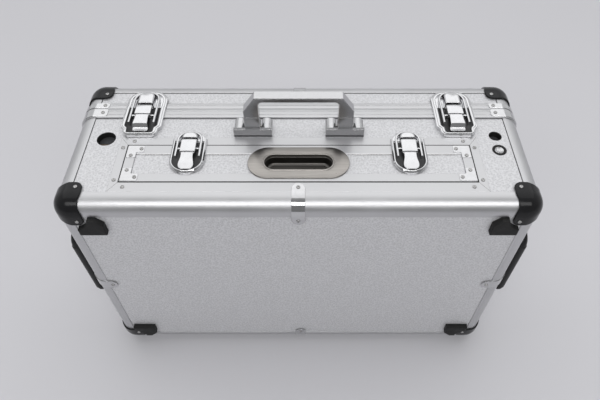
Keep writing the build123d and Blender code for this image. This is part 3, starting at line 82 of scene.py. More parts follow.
class CaseSizes(bpy.types.PropertyGroup):
    """Sizes of the pieces that are made here; everything else comes from the frame."""

    bead_radius: length("Bead radius", "Radius of the quarter-round edge extrusions", 0.020)
    bead_leg: length("Bead leg", "How far an edge extrusion reaches over a panel", 0.021)
    ball_wall: length("Ball corner wall", "Thickness of the ball corners", 0.0022)
    ball_leg: length("Ball corner leg", "Reach of a ball corner along each edge", 0.034)
    ball_waist: length("Ball corner waist", "Reach of a ball corner along the bead", 0.0315)
    ball_bite: length("Ball corner bite", "Radius of the bites between the lobes", 0.036)
    lobe_radius: length("Lobe radius", "Corner radius of the lobes", 0.009)
    strap_width: length("Strap width", "Width of the bent edge straps", 0.016)
    strap_reach: length("Strap reach", "Reach of a strap on each face", 0.033)
    strap_wall: length("Strap wall", "Thickness of a strap", 0.0011)


class CaseColours(bpy.types.PropertyGroup):
    """Colours of the finishes."""

    board: colour("Board", "Silver laminate on the panels", (0.60, 0.60, 0.615))
    # Darker than the metal's own grey: painted shade for the handle's front and back faces.
    casting: colour("Handle metal", "Cast aluminium of the carrying handle", (0.20, 0.20, 0.205))
    aluminium: colour("Aluminium", "Anodised extrusions", (0.56, 0.56, 0.57))
    plated: colour("Plating", "Bright plated sheet", (0.66, 0.66, 0.67))
    steel: colour("Steel", "Plated rivets, screws, pins and hinges", (0.46, 0.455, 0.45))
    moulding: colour("Moulding", "Black mouldings", (0.012, 0.012, 0.013))
    grip: colour("Bail handles", "Black mouldings of the bail handles", (0.014, 0.014, 0.015))
    # This black also serves the dark joint lines and the painted shade lines round the panels and the drawer.
    rubber: colour("Rubber", "Pads, feet and seals", (0.012, 0.012, 0.012))
    # Near black as painted shade for the floors inside the latch bases.
    well: colour("Latch floors", "Blackened floors of the latch bases", (0.010, 0.010, 0.011))
    # At a third of its level this nickel is also the painted shade inside the pull's cup.
    nickel: colour("Nickel", "Brushed nickel of the flush pull", (0.37, 0.35, 0.33))
    board_wood: colour("Inner board", "Plywood of the drawer and its bay", (0.13, 0.085, 0.05))
    felt: colour("Felt", "Felt face of the lining foam", (0.030, 0.030, 0.033))
    floor: colour("Floor", "Studio floor", (0.61, 0.605, 0.63))


def sizes():
    """The sizes of this scene, in millimetres, by name."""
    group = bpy.context.scene.case_sizes
    return SimpleNamespace(**{key: getattr(group, key) * 1000 for key in CaseSizes.__annotations__})


def extent(node):
    """A frame piece's right side, front and back in millimetres, its depths counted from the front plane."""
    low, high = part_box(node)
    return high[0] * 1000, float(low[1] - ORIGIN[1]) * 1000, float(high[1] - ORIGIN[1]) * 1000


# Meshes. A shape is a pair of arrays: points in millimetres from the front lower middle of the shell, and
# faces.


def grid_shape(points, wrap_rows=False, cap=True):
    """A closed shape from a grid of points whose columns run round. Its rows run round too, or the first and
    the last row are each closed by a fan to their middle."""
    rows, columns = points.shape[:2]
    column = np.arange(columns)
    following = (column + 1) % columns
    row = np.arange(rows if wrap_rows else rows - 1)[:, None]
    here, after = row * columns, (row + 1) % rows * columns
    quads = np.stack([here + column, here + following, after + following, after + column], -1)
    faces = quads.reshape(-1, 4).tolist()
    flat = points.reshape(-1, 3)
    if cap and not wrap_rows:
        base, last = len(flat), (rows - 1) * columns
        for first, second, middle in ((following, column, base), (last + column, last + following, base + 1)):
            faces += np.stack([first, second, np.full(columns, middle)], -1).tolist()
        flat = np.concatenate([flat, [points[0].mean(0), points[-1].mean(0)]])
    return flat, faces


def capped(grid):
    """A closed shape from a grid whose first and last rows are flat: each of them is closed by one face."""
    points, faces = grid_shape(grid, cap=False)
    count = grid.shape[1]
    return points, faces + [list(range(count))[::-1], list(range(len(points) - count, len(points)))]


def layers(steps, base=0.0, front=False):
    """Rows of a grid, one for each outline and its level. An outline lies flat at its height over the base,
    or, seen from the front, stands at its depth."""
    rows = []
    for line, level in steps:
        x, other = np.asarray(line, float).T
        level = np.broadcast_to(base + np.asarray(level, float), len(x))
        rows.append(np.stack([x, level, other] if front else [x, other, level], -1))
    return np.stack(rows)


def loft(steps, base=0.0, front=False, ring=False):
    """A closed shape through layers; a ring's last layer meets its first one again."""
    return grid_shape(layers(steps, base, front), ring)


def joined(*shapes):
    """Several shapes as one."""
    points, faces = [], []
    start = 0
    for part_points, part_faces in shapes:
        points.append(part_points)
        faces += [[index + start for index in face] for face in part_faces]
        start += len(part_points)
    return np.concatenate(points), faces


def put(shape, origin, across=X, along=Y, up=Z):
    """A shape made in its own axes, laid at an origin with three directions."""
    points, faces = shape
    return np.asarray(origin, float) + points @ np.array([across, along, up], float), faces


def flipped(shape, axis, about=0.0):
    """A shape mirrored in the plane at a distance along one axis."""
    points, faces = shape
    points = points.copy()
    points[:, axis] = 2 * about - points[:, axis]
    return points, faces


def both_sides(shape):
    """A shape and its mirror image across the middle of the case."""
    return joined(shape, flipped(shape, 0))


def high_and_low(shape):
    """A shape and its mirror image across the mid height of the case."""
    return joined(shape, flipped(shape, 2, HEIGHT / 2))


def faced(shape, body):
    """A shape of the front face, mirrored to the back for the lid."""
    return flipped(shape, 1, DEPTH / 2) if body == "lid" else shape


def mirrored(right):
    """A path followed by its mirror image, run backwards."""
    return np.concatenate([right, np.asarray(right)[::-1] * (-1, 1)])


def arc(centre, radius, start, end, steps):
    """Points on a circular arc, by angle in degrees."""
    angle = np.radians(np.linspace(start, end, steps))
    return np.asarray(centre, float) + radius * np.stack([np.cos(angle), np.sin(angle)], -1)


def round_outline(x0, x1, y0, y1, radii, steps=8, least=0.02):
    """Outline of a rectangle with four corner radii, as a function of how far it is drawn in. Each corner is
    a quarter circle about its own centre, so drawing in shortens the radius first, down to the least one."""
    corners = ((x1, y1, 1, 1), (x0, y1, -1, 1), (x0, y0, -1, -1), (x1, y0, 1, -1))

    def outline(inset=0.0):
        parts = []
        for turn, ((x, y, sx, sy), radius) in enumerate(zip(corners, radii)):
            left = max(radius - inset, least)
            centre = (x - sx * (inset + left), y - sy * (inset + left))
            parts.append(arc(centre, left, turn * 90, turn * 90 + 90, steps))
        return np.concatenate(parts)

    return outline


def shell_outline(out, radius, steps, least=0.02):
    """Outline of the shell seen from the front, larger by some distance, as a function of how far it is drawn
    in."""
    return round_outline(-SIDE - out, SIDE + out, -out, HEIGHT + out, [radius] * 4, steps, least)


def stadium(length_x, length_y, y, steps=22):
    """Outline of a stadium about the middle, as a function of how far it is drawn in."""
    half, radius = length_x / 2, length_y / 2
    return round_outline(-half, half, y - radius, y + radius, [radius - 0.01] * 4, steps)


def sharp_outline(x0, x1, y0, y1):
    """A square-cornered outline, as a function of how far it is drawn in."""
    def outline(inset=0.0):
        left, right, near, far = x0 + inset, x1 - inset, y0 + inset, y1 - inset
        return np.array([(right, far), (left, far), (left, near), (right, near)])

    return outline


def disc(x, y, radius, steps=48):
    """Points round a disc."""
    return arc((x, y), radius, 0, 360, steps + 1)[:-1]


def quarter(radius, steps):
    """Insets and drops along a quarter circle that rounds an edge, from its side to its top."""
    turn = np.linspace(0, math.pi / 2, steps)
    return [(radius * (1 - math.cos(a)), radius * (1 - math.sin(a))) for a in turn]


def rounded_slab(outline, low, high, edge, steps=4):
    """A slab with its upper edge rounded by a quarter circle."""
    rim = [(outline(inset), high - drop) for inset, drop in quarter(edge, steps)]
    return loft([(outline(0.0), low)] + rim)


def pushed(profile, start, distance, direction=Y, across=X, up=Z):
    """A closed profile pushed straight along a direction; each end is one face."""
    profile = np.asarray(profile, float)
    section = profile[:, :1] * np.asarray(across, float) + profile[:, 1:] * np.asarray(up, float)
    ends = np.asarray(start, float) + np.outer([0.0, distance], direction)
    return capped(ends[:, None, :] + section[None])


def ring_on_top(outer, inner, low, high, edge):
    """A flat frame on the top face: a bar's section, with eased edges, carried round from the outer outline
    to the inner one. Both outlines have equally many points."""
    return loft([(outer(0.0), low), (outer(0.0), high - edge), (outer(edge), high), (inner(-edge), high),
                 (inner(0.0), high - edge), (inner(0.0), low)], HEIGHT, ring=True)


def add_piece(name, shape, finish_key, body, slot, *replaces, sharp=32.0):
    """Puts a shape into a mesh object in metres, closes its seams, turns its faces outwards and lets it
    ride."""
    points, faces = shape
    mesh = bpy.data.meshes.new(name)
    mesh.from_pydata((points * 0.001 + ORIGIN).tolist(), [], faces)
    work = bmesh.new()
    work.from_mesh(mesh)
    bmesh.ops.remove_doubles(work, verts=work.verts, dist=WELD)
    bmesh.ops.dissolve_degenerate(work, edges=work.edges, dist=1e-7)
    bmesh.ops.recalc_face_normals(work, faces=work.faces)
    work.to_mesh(mesh)
    work.free()
    mesh.shade_smooth()
    mesh.set_sharp_from_angle(angle=math.radians(sharp))
    piece = bpy.data.objects.new(name, mesh)
    bpy.context.scene.collection.objects.link(piece)
    mesh.materials.append(finish(finish_key))
    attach(piece, body)
    if replaces:
        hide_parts(*replaces)
    return piece


# Finishes. Their patterns read Object coordinates, so a pattern stays on its piece in every view.


RANGE = ("From Min", "From Max", "To Min", "To Max")


def node(tree, kind, sockets=(), output=0, **settings):
    """One output of a new node with its settings, and its inputs set to values or linked from sockets."""
    made = tree.nodes.new(kind)
    for key, value in settings.items():
        setattr(made, key, value)
    for key, value in dict(sockets).items():
        if isinstance(value, bpy.types.NodeSocket):
            tree.links.new(value, made.inputs[key])
        else:
            made.inputs[key].default_value = value
    return made.outputs[output]


def spread(tree, value, *numbers, **settings):
    """A value mapped from one range to another and held inside it."""
    return node(tree, "ShaderNodeMapRange", {"Value": value, **dict(zip(RANGE, numbers))}, **settings)


def maths(tree, operation, a, b):
    """One arithmetic step."""
    return node(tree, "ShaderNodeMath", {0: a, 1: b}, operation=operation)


def mixed(tree, factor, a, b):
    """Two colours mixed by a factor."""
    return node(tree, "ShaderNodeMix", {0: factor, 6: a, 7: b}, 2, data_type="RGBA")


def bevel(tree, radius):
    """A normal rounded over the piece's edges."""
    return node(tree, "ShaderNodeBevel", {"Radius": radius}, samples=4)


def pattern(tree, place, known, recipe):
    """A pattern of nought to one from its recipe: worn edges, where a rounded normal leaves the flat one; two
    known patterns added by weight; the distance to scattered points; or smooth noise, stretched or not."""
    if recipe[0] == "edges":
        flat = node(tree, "ShaderNodeNewGeometry", output="Normal")
        dot = node(tree, "ShaderNodeVectorMath", {0: bevel(tree, recipe[1]), 1: flat}, "Value",
                   operation="DOT_PRODUCT")
        return spread(tree, dot, 0.99, 0.85, 0.0, 1.0)
    if recipe[0] == "sum":
        _, first, weight, second, other_weight = recipe
        return maths(tree, "ADD", maths(tree, "MULTIPLY", known[first], weight),
                     maths(tree, "MULTIPLY", known[second], other_weight))
    if recipe[0] == "cells":
        return node(tree, "ShaderNodeTexVoronoi", {"Vector": place, "Scale": recipe[1]}, "Distance")
    scale, detail, stretch, rough = (*recipe, None, None)[:4]
    if stretch:
        place = node(tree, "ShaderNodeMapping", {"Vector": place, "Scale": stretch}, "Vector")
    return node(tree, "ShaderNodeTexNoise",
                {"Vector": place, "Scale": scale, "Detail": detail, "Roughness": rough or 0.5}, "Fac")


def metal(base, patterns, tone, gloss, relief, **more):
    """A recipe for bare or plated metal."""
    return dict(base=base, patterns=patterns, tone=tone, gloss=gloss, relief=relief, metallic=1.0, **more)


def plating(rough, level):
    """Bright plating: near mirror, with fine haze, hairline scratches and a slightly wavy pressed surface."""
    return metal(
        "plated", {"wave": (55.0, 1.0), "haze": (160.0, 4.0), "scratch": (700.0, 1.0, (1.0, 0.08, 0.6))},
        ("haze", 0.3, 0.7, 0.95, 1.02),
        [("haze", 0.35, 0.75, rough - 0.03, rough + 0.07), ("scratch", 0.62, 0.8, 0.0, 0.10)],
        ("wave", 0.25, 0.0005, 0.0004), level=level)


def rubber():
    """Black rubber of pads and feet, also used for dark joint lines and painted shade lines: matt, with a
    fine sandy grain and grey dusting.
    """
    return dict(
        base="rubber", patterns={"grain": (1500.0, 3.0), "dust": (110.0, 5.0)},
        tone=("grain", 0.0, 1.0, 0.8, 1.3), over=("dust", 0.5, 0.75, 0.35, (0.04, 0.04, 0.039)),
        gloss=[("dust", 0.3, 0.7, 0.52, 0.72)], relief=("grain", 0.3, 0.0002, 0.0007),
        inputs={"Specular IOR Level": 0.25})


def brushed_nickel(level):
    """Brushed nickel of the flush pull: warm grey with brush lines along the case."""
    return metal(
        "nickel", {"brush": (1500.0, 2.0, (0.03, 1.0, 1.0)), "cloud": (45.0, 2.0)},
        ("brush", 0.3, 0.7, 0.88, 1.10), [("cloud", 0.3, 0.7, 0.27, 0.38)], ("brush", 0.2, 0.0001, 0.0003),
        level=level)


# Each recipe has a base colour and its patterns. The tone spreads a pattern's range between a darker and a
# lighter level of the base; over it comes a second colour by a pattern's share. The gloss adds up roughness.
# The relief is a pattern, its strength, its height in metres and the radius that softens the edges.
RECIPES = {
    # Silver laminate: a fine pebbled weave, with soft cloudy changes of tone.
    "board": dict(
        base="board", metallic=0.25, inputs={"Specular IOR Level": 0.45},
        patterns={"weave": ("cells", 430.0), "threads": (620.0, 2.0, (1.0, 0.45, 0.45)), "cloud": (60.0, 4.0),
                  "grain": ("sum", "weave", 0.7, "threads", 0.5),
                  "tone": ("sum", "grain", 0.88, "cloud", 0.12)},
        tone=("tone", 0.25, 0.75, 0.80, 1.14), gloss=[("cloud", 0.3, 0.7, 0.40, 0.52)],
        relief=("grain", 0.5, 0.0005, 0.0006)),
    # Anodised extrusion: satin metal with fine grain, slight smudges and brighter edges.
    "edging": metal(
        "aluminium", {"lines": (1400.0, 2.0), "smudge": (18.0, 3.0), "worn": ("edges", 0.0008)},
        ("smudge", 0.3, 0.7, 0.96, 1.03),
        [("lines", 0.3, 0.7, 0.34, 0.42), ("smudge", 0.35, 0.7, -0.02, 0.05)],
        ("lines", 0.12, 0.00008, 0.0004), over=("worn", 0.0, 1.0, 0.5, (0.90, 0.90, 0.90))),
    # The latches' plating, the softer plating of straps and plates, and a brighter plated copy of the
    # handle's metal on its top, sides and lugs, a painted highlight against the darkened copy on its front
    # and back faces.
    "plated": plating(0.09, 1.0),
    "strap": plating(0.06, 0.9),
    "polished": plating(0.17, 0.85),
    # Plated steel of rivets, screws, pins and hinges: bright, slightly pitted, dull in places.
    "steel": metal(
        "steel", {"pits": (900.0, 3.0), "dull": (90.0, 3.0)}, ("dull", 0.3, 0.7, 0.86, 1.08),
        [("dull", 0.3, 0.7, 0.18, 0.36)], ("pits", 0.15, 0.0001, 0.0003)),
    # Cast aluminium of the carrying handle, darkened as painted shade for its front and back faces: satin
    # grey metal, brighter along its worn edges.
    "casting": metal(
        "casting", {"grain": (1300.0, 3.0), "cloud": (30.0, 3.0), "worn": ("edges", 0.0009)},
        ("cloud", 0.3, 0.7, 0.92, 1.05), [("cloud", 0.3, 0.7, 0.15, 0.24)], ("grain", 0.16, 0.0001, 0.0005),
        over=("worn", 0.0, 1.0, 0.6, (0.92, 0.92, 0.92))),
    # Glossy black moulding of the ball corners: faint ripple and dust-fine scuffs.
    "moulding": dict(
        base="moulding", patterns={"ripple": (70.0, 2.0), "scuff": (420.0, 5.0, None, 0.7)},
        tone=("ripple", 0.0, 1.0, 0.8, 1.3), over=("scuff", 0.58, 0.78, 0.25, (0.06, 0.06, 0.06)),
        gloss=[("ripple", 0.3, 0.7, 0.13, 0.20), ("scuff", 0.58, 0.78, 0.0, 0.18)],
        relief=("ripple", 0.2, 0.0004, 0.0006),
        inputs={"Specular IOR Level": 0.18, "Coat Weight": 0.04, "Coat Roughness": 0.08}),
    # Satin black moulding of the bail handles: spark grain, with paler, smoother edges from use.
    "grip": dict(
        base="grip", patterns={"spark": (1100.0, 4.0), "hands": (35.0, 3.0), "worn": ("edges", 0.0009)},
        tone=("hands", 0.3, 0.7, 0.85, 1.15), over=("worn", 0.0, 1.0, 0.4, (0.05, 0.05, 0.05)),
        gloss=[("hands", 0.3, 0.7, 0.39, 0.48), ("worn", 0.0, 1.0, 0.0, -0.12)],
        relief=("spark", 0.22, 0.0002, 0.0006), inputs={"Specular IOR Level": 0.25}),
    "rubber": rubber(),
    # The mitres' dark joint lines, and the painted shade lines round the top panels and in the drawer's gap,
    # in black rubber.
    "seam": rubber(),
    # The pull's plate, and the inside of its cup: the same nickel darkened to a third as painted shade.
    "nickel": brushed_nickel(1.0),
    "cup": brushed_nickel(0.3),
    # Painted shade: near-black floor inside the latch bases, standing in for the shade under the levers; dull
    # and faintly streaked.
    "well": dict(
        base="well", patterns={"streak": (300.0, 3.0, (1.0, 0.2, 1.0))}, tone=("streak", 0.0, 1.0, 0.7, 1.4),
        gloss=[("streak", 0.3, 0.7, 0.34, 0.5)], relief=("streak", 0.1, 0.0001, None)),
    # Stained plywood of the drawer's tray and bay: long grain, darker pores.
    "plywood": dict(
        base="board_wood", patterns={
            "grain": (160.0, 6.0, (0.06, 1.0, 1.0), 0.65), "pores": (900.0, 3.0, (0.05, 1.0, 1.0)),
            "tone": ("sum", "grain", 0.7, "pores", 0.3)},
        tone=("tone", 0.3, 0.7, 0.62, 1.25), gloss=[("grain", 0.3, 0.7, 0.48, 0.66)],
        relief=("tone", 0.2, 0.0003, 0.0004)),
    # Felt face of the lining foam: tangled short fibres that catch light at a low angle.
    "felt": dict(
        base="felt", patterns={"fibre": (1300.0, 6.0, None, 0.7), "nap": (28.0, 3.0)},
        tone=("nap", 0.3, 0.7, 0.7, 1.5), gloss=[("fibre", 0.3, 0.7, 0.85, 1.0)],
        relief=("fibre", 0.6, 0.0005, None), inputs={"Sheen Weight": 0.45, "Sheen Roughness": 0.4}),
    # Matt studio floor with a barely visible unevenness.
    "studio_floor": dict(
        base="floor", patterns={"cloud": (3.0, 3.0)}, tone=("cloud", 0.3, 0.7, 0.995, 1.005),
        gloss=[("cloud", 0.3, 0.7, 0.7, 0.8)], inputs={"Specular IOR Level": 0.2}),
}


def finish(key):
    """A finish by its short name, made once from its recipe."""
    name = "case_" + key
    return bpy.data.materials.get(name) or made_finish(name, **RECIPES[key])


def made_finish(name, base, patterns, tone, gloss, relief=None, over=None, metallic=0.0, level=1.0,
                inputs=()):
    """A material with one Principled shader, whose colour, roughness and normal come from its recipe."""
    material = bpy.data.materials.new(name)
    material.use_nodes = True
    tree = material.node_tree
    shader = tree.nodes["Principled BSDF"]
    part = [number * level for number in getattr(bpy.context.scene.case_colours, base)]
    for key, value in {"Base Color": (*part, 1.0), "Metallic": metallic, **dict(inputs)}.items():
        shader.inputs[key].default_value = value
    place = node(tree, "ShaderNodeTexCoord", output="Object")
    known = {}
    for key, recipe in patterns.items():
        known[key] = pattern(tree, place, known, recipe)
    source, low, high, *ends = tone
    dark, light = [(*[min(number * end, 1) for number in part], 1) for end in ends]
    shade = mixed(tree, spread(tree, known[source], low, high, 0.0, 1.0), dark, light)
    if over:
        source, low, high, share, other = over
        shade = mixed(tree, spread(tree, known[source], low, high, 0.0, share), shade, (*other, 1))
    tree.links.new(shade, shader.inputs["Base Color"])
    rough = None
    for source, *numbers in gloss:
        more = spread(tree, known[source], *numbers)
        rough = maths(tree, "ADD", rough, more) if rough else more
    tree.links.new(rough, shader.inputs["Roughness"])
    if relief:
        source, strength, distance, soft = relief
        sockets = {"Height": known[source], "Strength": strength, "Distance": distance}
        if soft:
            sockets["Normal"] = bevel(tree, soft)
        tree.links.new(node(tree, "ShaderNodeBump", sockets), shader.inputs["Normal"])
    return material


# Shell: extrusions, rims, corners, straps, brackets and rivets.

PARTING = 158.0
RIM_FRONT = 142.3
RIM_PROUD = 1.4
HINGE_PLACE = (158.2, -1.6)
HINGE_ROOM = 3.95
HINGE_MIDDLE, HINGE_HALF = 150.0, 31.36
HINGE_STATIONS = (-181.4, -181.3, -124.0, -118.7, -118.6, 118.6, 118.7, 124.0, 181.3, 181.4)
CORNER_ROOM = 3.1


def bead(start, distance, along, inward, other):
    """An edge extrusion pushed along the case's edge. Its section is a quarter circle of the bead radius with
    a lip over each panel, a slot behind each lip and an inner wall that follows the outer arc."""
    size = sizes()
    radius, leg, wall = size.bead_radius, size.bead_leg, 1.8
    slot = leg - 5.0
    half = [(1.2, leg), (1.2, slot), (6.4, slot), (6.4, leg + 3), (8.0, leg + 3), (8.0, slot - 1.6),
            (2.65, slot - 1.6)]
    outer = arc((radius, radius), radius, 270, 180, 22)
    inner = arc((radius, radius), radius - wall, 197.6, 252.4, 9)
    section = [(leg, 1.2), (leg, 0.25), (leg - 0.25, 0.0), *outer, (0.0, leg - 0.25), (0.25, leg), *half,
               *inner[1:-1], *[(b, a) for a, b in half[::-1]][:-1]]
    return pushed(section, start, distance, along, inward, other)


def front_beads(start):
    """The two long and two upright extrusions round the front face, between the ball corners."""
    across = bead((-SIDE + start, 0, 0), WIDTH - 2 * start, X, Y, Z)
    upright = bead((SIDE, 0, start), HEIGHT - 2 * start, Z, -X, Y)
    return joined(high_and_low(across), both_sides(upright))


def side_beads(y0, y1):
    """The four extrusions that run from front to back between two depths."""
    return both_sides(high_and_low(bead((SIDE, y0, 0), y1 - y0, Y, -X, Z)))


def rounded_box_point(q, radius, skin):
    """Sharp cube points moved to the rounded box: c is q held inside the rounding's centre lines, and the
    point lies at radius plus skin from c towards q."""
    c = np.maximum(q, radius)
    run = q - c
    return c + (radius + skin) * run / np.linalg.norm(run, axis=-1, keepdims=True)


def on_face(distance, angle):
    """Points of the corner's first face, by distance and angle from the corner."""
    return np.stack([distance * np.cos(angle), distance * np.sin(angle), np.zeros_like(angle)], -1)


def corner_reach(angle):
    """How far a corner cap goes from the corner at an angle on one face: the first place, found by halving,
    where the surface leaves the square with its rounded corner or enters a bite."""
    size = sizes()
    lobe, bite = size.lobe_radius, size.ball_bite
    core, centre = size.ball_leg - lobe, size.ball_waist + bite
    low, high = np.zeros_like(angle), np.full_like(angle, 1.6 * size.ball_leg)
    for _ in range(36):
        middle = (low + high) / 2
        points = rounded_box_point(on_face(middle, angle), size.bead_radius, size.ball_wall)
        x, y, z = np.moveaxis(points, -1, 0)
        inside = np.hypot(np.maximum(x - core, 0), np.maximum(y - core, 0)) < lobe
        inside &= (x - centre) ** 2 + (y - z) ** 2 / 2 > bite ** 2
        inside &= (y - centre) ** 2 + (x - z) ** 2 / 2 > bite ** 2
        low, high = np.where(inside, middle, low), np.where(inside, high, middle)
    return low


def ball_corners(body):
    """The ball corners of the body or the lid: three faces of a polar grid round each corner, laid on the
    rounded box, with a rolled rim. A row has its inset, its part of the reach and its height over the box."""
    size = sizes()
    wall, roll, floor = size.ball_wall, 0.9, 0.1
    angle = np.linspace(0, math.pi / 2, 26, endpoint=False)
    reach = corner_reach(angle)
    rows = [(0.0, part, wall) for part in np.linspace(0, 1, 15)[:-2]]
    rows += [(2.2 * roll, 1.0, wall), (roll, 1.0, wall)]
    rows += [(drop, 1.0, wall - inset) for inset, drop in quarter(roll, 4)[1:]]
    rows += [(0.0, 1.0, floor)] + [(0.0, part, floor) for part in np.linspace(0.9, 0, 7)]
    grid = []
    for inset, part, skin in rows:
        flat = on_face(np.maximum((reach - inset) * part, 0), angle)
        face = rounded_box_point(flat, size.bead_radius, skin)
        grid.append(np.concatenate([np.roll(face, turns, axis=1) for turns in range(3)]))
    points, faces = grid_shape(np.stack(grid))
    return faced(both_sides(high_and_low((points - (SIDE, 0, 0), faces))), body)


def wrapped_strip(reach, half, end_radius, low, high):
    """A strip bent over the rounded edge. Along it the path is straight, a quarter circle and straight again;
    its half width falls to the rounded ends as a circle does; its section is a bar with eased upper edges."""
    radius = sizes().bead_radius
    turn = np.radians(np.linspace(8, 90, 7))
    near = reach - end_radius * (1 - np.cos(turn))
    width_near = half - end_radius + end_radius * np.sin(turn)
    stations = [(at, 270.0, wide) for at, wide in zip(near, width_near)]
    stations += [(radius, a, half) for a in np.linspace(270, 180, 19)]
    stations += [(at, 180.0, wide) for at, wide in zip(near[::-1], width_near[::-1])]
    place, degrees, width = np.array(stations).T
    angle = np.radians(degrees)
    outward = np.stack([np.cos(angle), np.sin(angle)], -1)
    edge = np.full_like(place, radius)
    centre = np.where(degrees[:, None] > 225, np.stack([place, edge], -1), np.stack([edge, place], -1))
    ease = 0.3 * (high - low)
    side, inset, skin = np.array([(-1, 0, low), (-1, 0, high - ease), (-1, ease, high), (1, -ease, high),
                                  (1, 0, high - ease), (1, 0, low)]).T
    across = side * width[:, None] + inset
    points = centre[:, None] + (radius + skin)[None, :, None] * outward[:, None]
    return grid_shape(np.concatenate([across[..., None], points], -1))


def edge_straps(body):
    """The straps over the middle of the four edges round one face."""
    size = sizes()
    half = size.strap_width / 2
    strap = wrapped_strip(size.strap_reach, half, half - 0.2, 0.1, size.strap_wall)
    side = put(strap, (SIDE, 0, HEIGHT / 2), Z, -X, Y)
    return faced(joined(high_and_low(strap), both_sides(side)), body)


def rim_brackets(y0, y1):
    """The brackets wrapped round the four corners of a rim."""
    bracket = wrapped_strip(35.0, (y1 - y0) / 2, 3.0, RIM_PROUD + 0.02, RIM_PROUD + 0.9)
    return both_sides(high_and_low(put(bracket, (SIDE, (y0 + y1) / 2, 0), Y, -X, Z)))


def rim(start, end, grooves, inner):
    """A rim between two depths: its outer face with eased edges and narrow grooves, and its inner side,
    carried round the shell. It is pressed clear of the two hinge barrels: every point nearer to a barrel's
    axis than the room's radius is moved out to that radius."""
    profile = [*arc((0.4, start + 0.4), 0.4, 270, 180, 4)]
    for place in grooves:
        profile += [(depth, start + place + side) for depth, side in
                    ((0.0, -0.45), (0.55, -0.27), (0.55, 0.27), (0.0, 0.45))]
    profile += [*arc((0.7, end - 0.7), 0.7, 180, 90, 4), *inner]
    outline = shell_outline(RIM_PROUD, sizes().bead_radius + RIM_PROUD, 12)
    rows = []
    for inset, y in profile:
        line = outline(inset)
        foot = [(x, inset - RIM_PROUD) for x in HINGE_STATIONS]
        rows.append((np.concatenate([line[:36], foot, line[36:]]), y))
    grid = layers(rows, front=True)
    off = grid[..., 1:] - HINGE_PLACE
    distance = np.linalg.norm(off, axis=-1, keepdims=True)
    near = (np.abs(np.abs(grid[..., :1]) - HINGE_MIDDLE) < HINGE_HALF) & (distance < HINGE_ROOM)
    moved = HINGE_PLACE + off / np.maximum(distance, 0.01) * HINGE_ROOM
    grid[..., 1:] = np.where(near, moved, grid[..., 1:])
    return grid_shape(grid, wrap_rows=True)


def body_rim():
    """The body's rim: two grooves outside, the panel slot in front and the dust tongue behind."""
    start, end = extent("top_panel")[2] - 4.9, PARTING
    slot = [(9.9, start), (7.7, start), (7.7, start + 5.0), (2.5, start + 5.0), (2.5, start)]
    tongue = [(5.4, end), (5.4, end + 2.4), (7.0, end + 2.4), (7.0, end), (9.9, end)]
    return rim(start, end, (4.6, 11.4), tongue + slot)


def lid_rim():
    """The lid's rim: a groove outside, room inside for the body's tongue, and the panel slot behind."""
    start, end = PARTING + 0.4, 168.7
    slot = [(2.5, end), (2.5, end - 5.0), (7.7, end - 5.0), (7.7, end), (9.9, end)]
    return rim(start, end, (5.6,), slot + [(9.9, PARTING + 2.9), (4.8, PARTING + 2.9), (4.8, start)])


def islands(name):
    """The separate solids of a frame piece as boxes: triangles that share a point take the lowest label among
    them until nothing changes."""
    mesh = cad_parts[name].data
    points = np.zeros(len(mesh.vertices) * 3)
    mesh.vertices.foreach_get("co", points)
    points = (points.reshape(-1, 3) - ORIGIN) * 1000
    _, same = np.unique(np.round(points, 3), axis=0, return_inverse=True)
    same = same.ravel()
    corners = np.zeros(len(mesh.loops), int)
    mesh.loops.foreach_get("vertex_index", corners)
    triangles = same[corners].reshape(-1, 3)
    label, before = np.arange(same.max() + 1), None
    while before is None or (label != before).any():
        before = label.copy()
        np.minimum.at(label, triangles.ravel(), np.repeat(before[triangles].min(1), 3))
    groups = label[same]
    return [(points[groups == g].min(0), points[groups == g].max(0)) for g in np.unique(groups)]


def rivet_head(radius, height, recess):
    """A domed head with a cross recess: circles whose height falls as the root of one minus the square of the
    radius, with the four arms of a cross pressed in."""
    turns = 16
    angle = np.arange(turns) * 2 * math.pi / turns
    arms = (np.arange(turns) % 4 == 0)
    rows = []
    for part, depth in ((0.0, 1.0), (0.16, 1.0), (0.30, 0.9), (0.46, 0.7), (0.58, 0), (0.80, 0), (0.94, 0)):
        rise = height * (0.25 + 0.75 * math.sqrt(1 - part ** 2))
        drop = np.where(arms | (part < 0.01), depth * recess, 0.0 if part > 0.2 else recess * 0.5)
        rows.append((part, rise - drop))
    rows += [(1.0, height * 0.18), (1.0, 0.0)]
    circle = np.stack([np.cos(angle), np.sin(angle)], -1)
    return loft([(radius * part * circle, level) for part, level in rows])


def rivets_of(name):
    """Rivet heads at every head of a frame piece: the thin side of each solid gives the axis, and its place
    on the shell gives which way it looks."""
    shapes = []
    middle = np.array([0.0, DEPTH / 2, HEIGHT / 2])
    for number, (low, high) in enumerate(islands(name)):
        reach = high - low
        axis = int(np.argmin(reach))
        base = (low + high) / 2
        outward = np.eye(3)[axis] * (1.0 if base[axis] > middle[axis] else -1.0)
        base[axis] = (low if outward[axis] > 0 else high)[axis]
        side, spin = np.roll(outward, 1), 0.7 * number
        across = math.cos(spin) * side + math.sin(spin) * np.cross(outward, side)
        head = rivet_head(float(np.delete(reach, axis).max()) / 2, float(reach[axis]), 0.55)
        shapes.append(put(head, base, across, np.cross(outward, across), outward))
    return joined(*shapes)


class CASE_OT_extrusions(bpy.types.Operator):
    """Edge extrusions of the body and the lid"""

    bl_idname = "case.extrusions"
    bl_label = "Edge extrusions"

    def execute(self, context):
        start = sizes().bead_leg + CORNER_ROOM
        front = front_beads(start)
        for name, shape, body, replaced in (
                ("front", front, "body", "front_edge"),
                ("side", side_beads(start, extent("side_edge_profiles")[2]), "body", "side_edge"),
                ("lid", faced(front, "lid"), "lid", "lid_edge"),
                ("lid_side", side_beads(extent("lid_side_profiles")[1], DEPTH - start), "lid", "lid_side")):
            add_piece(name + "_extrusions", shape, "edging", body, "edge_aluminium", replaced + "_profiles")
        return {"FINISHED"}


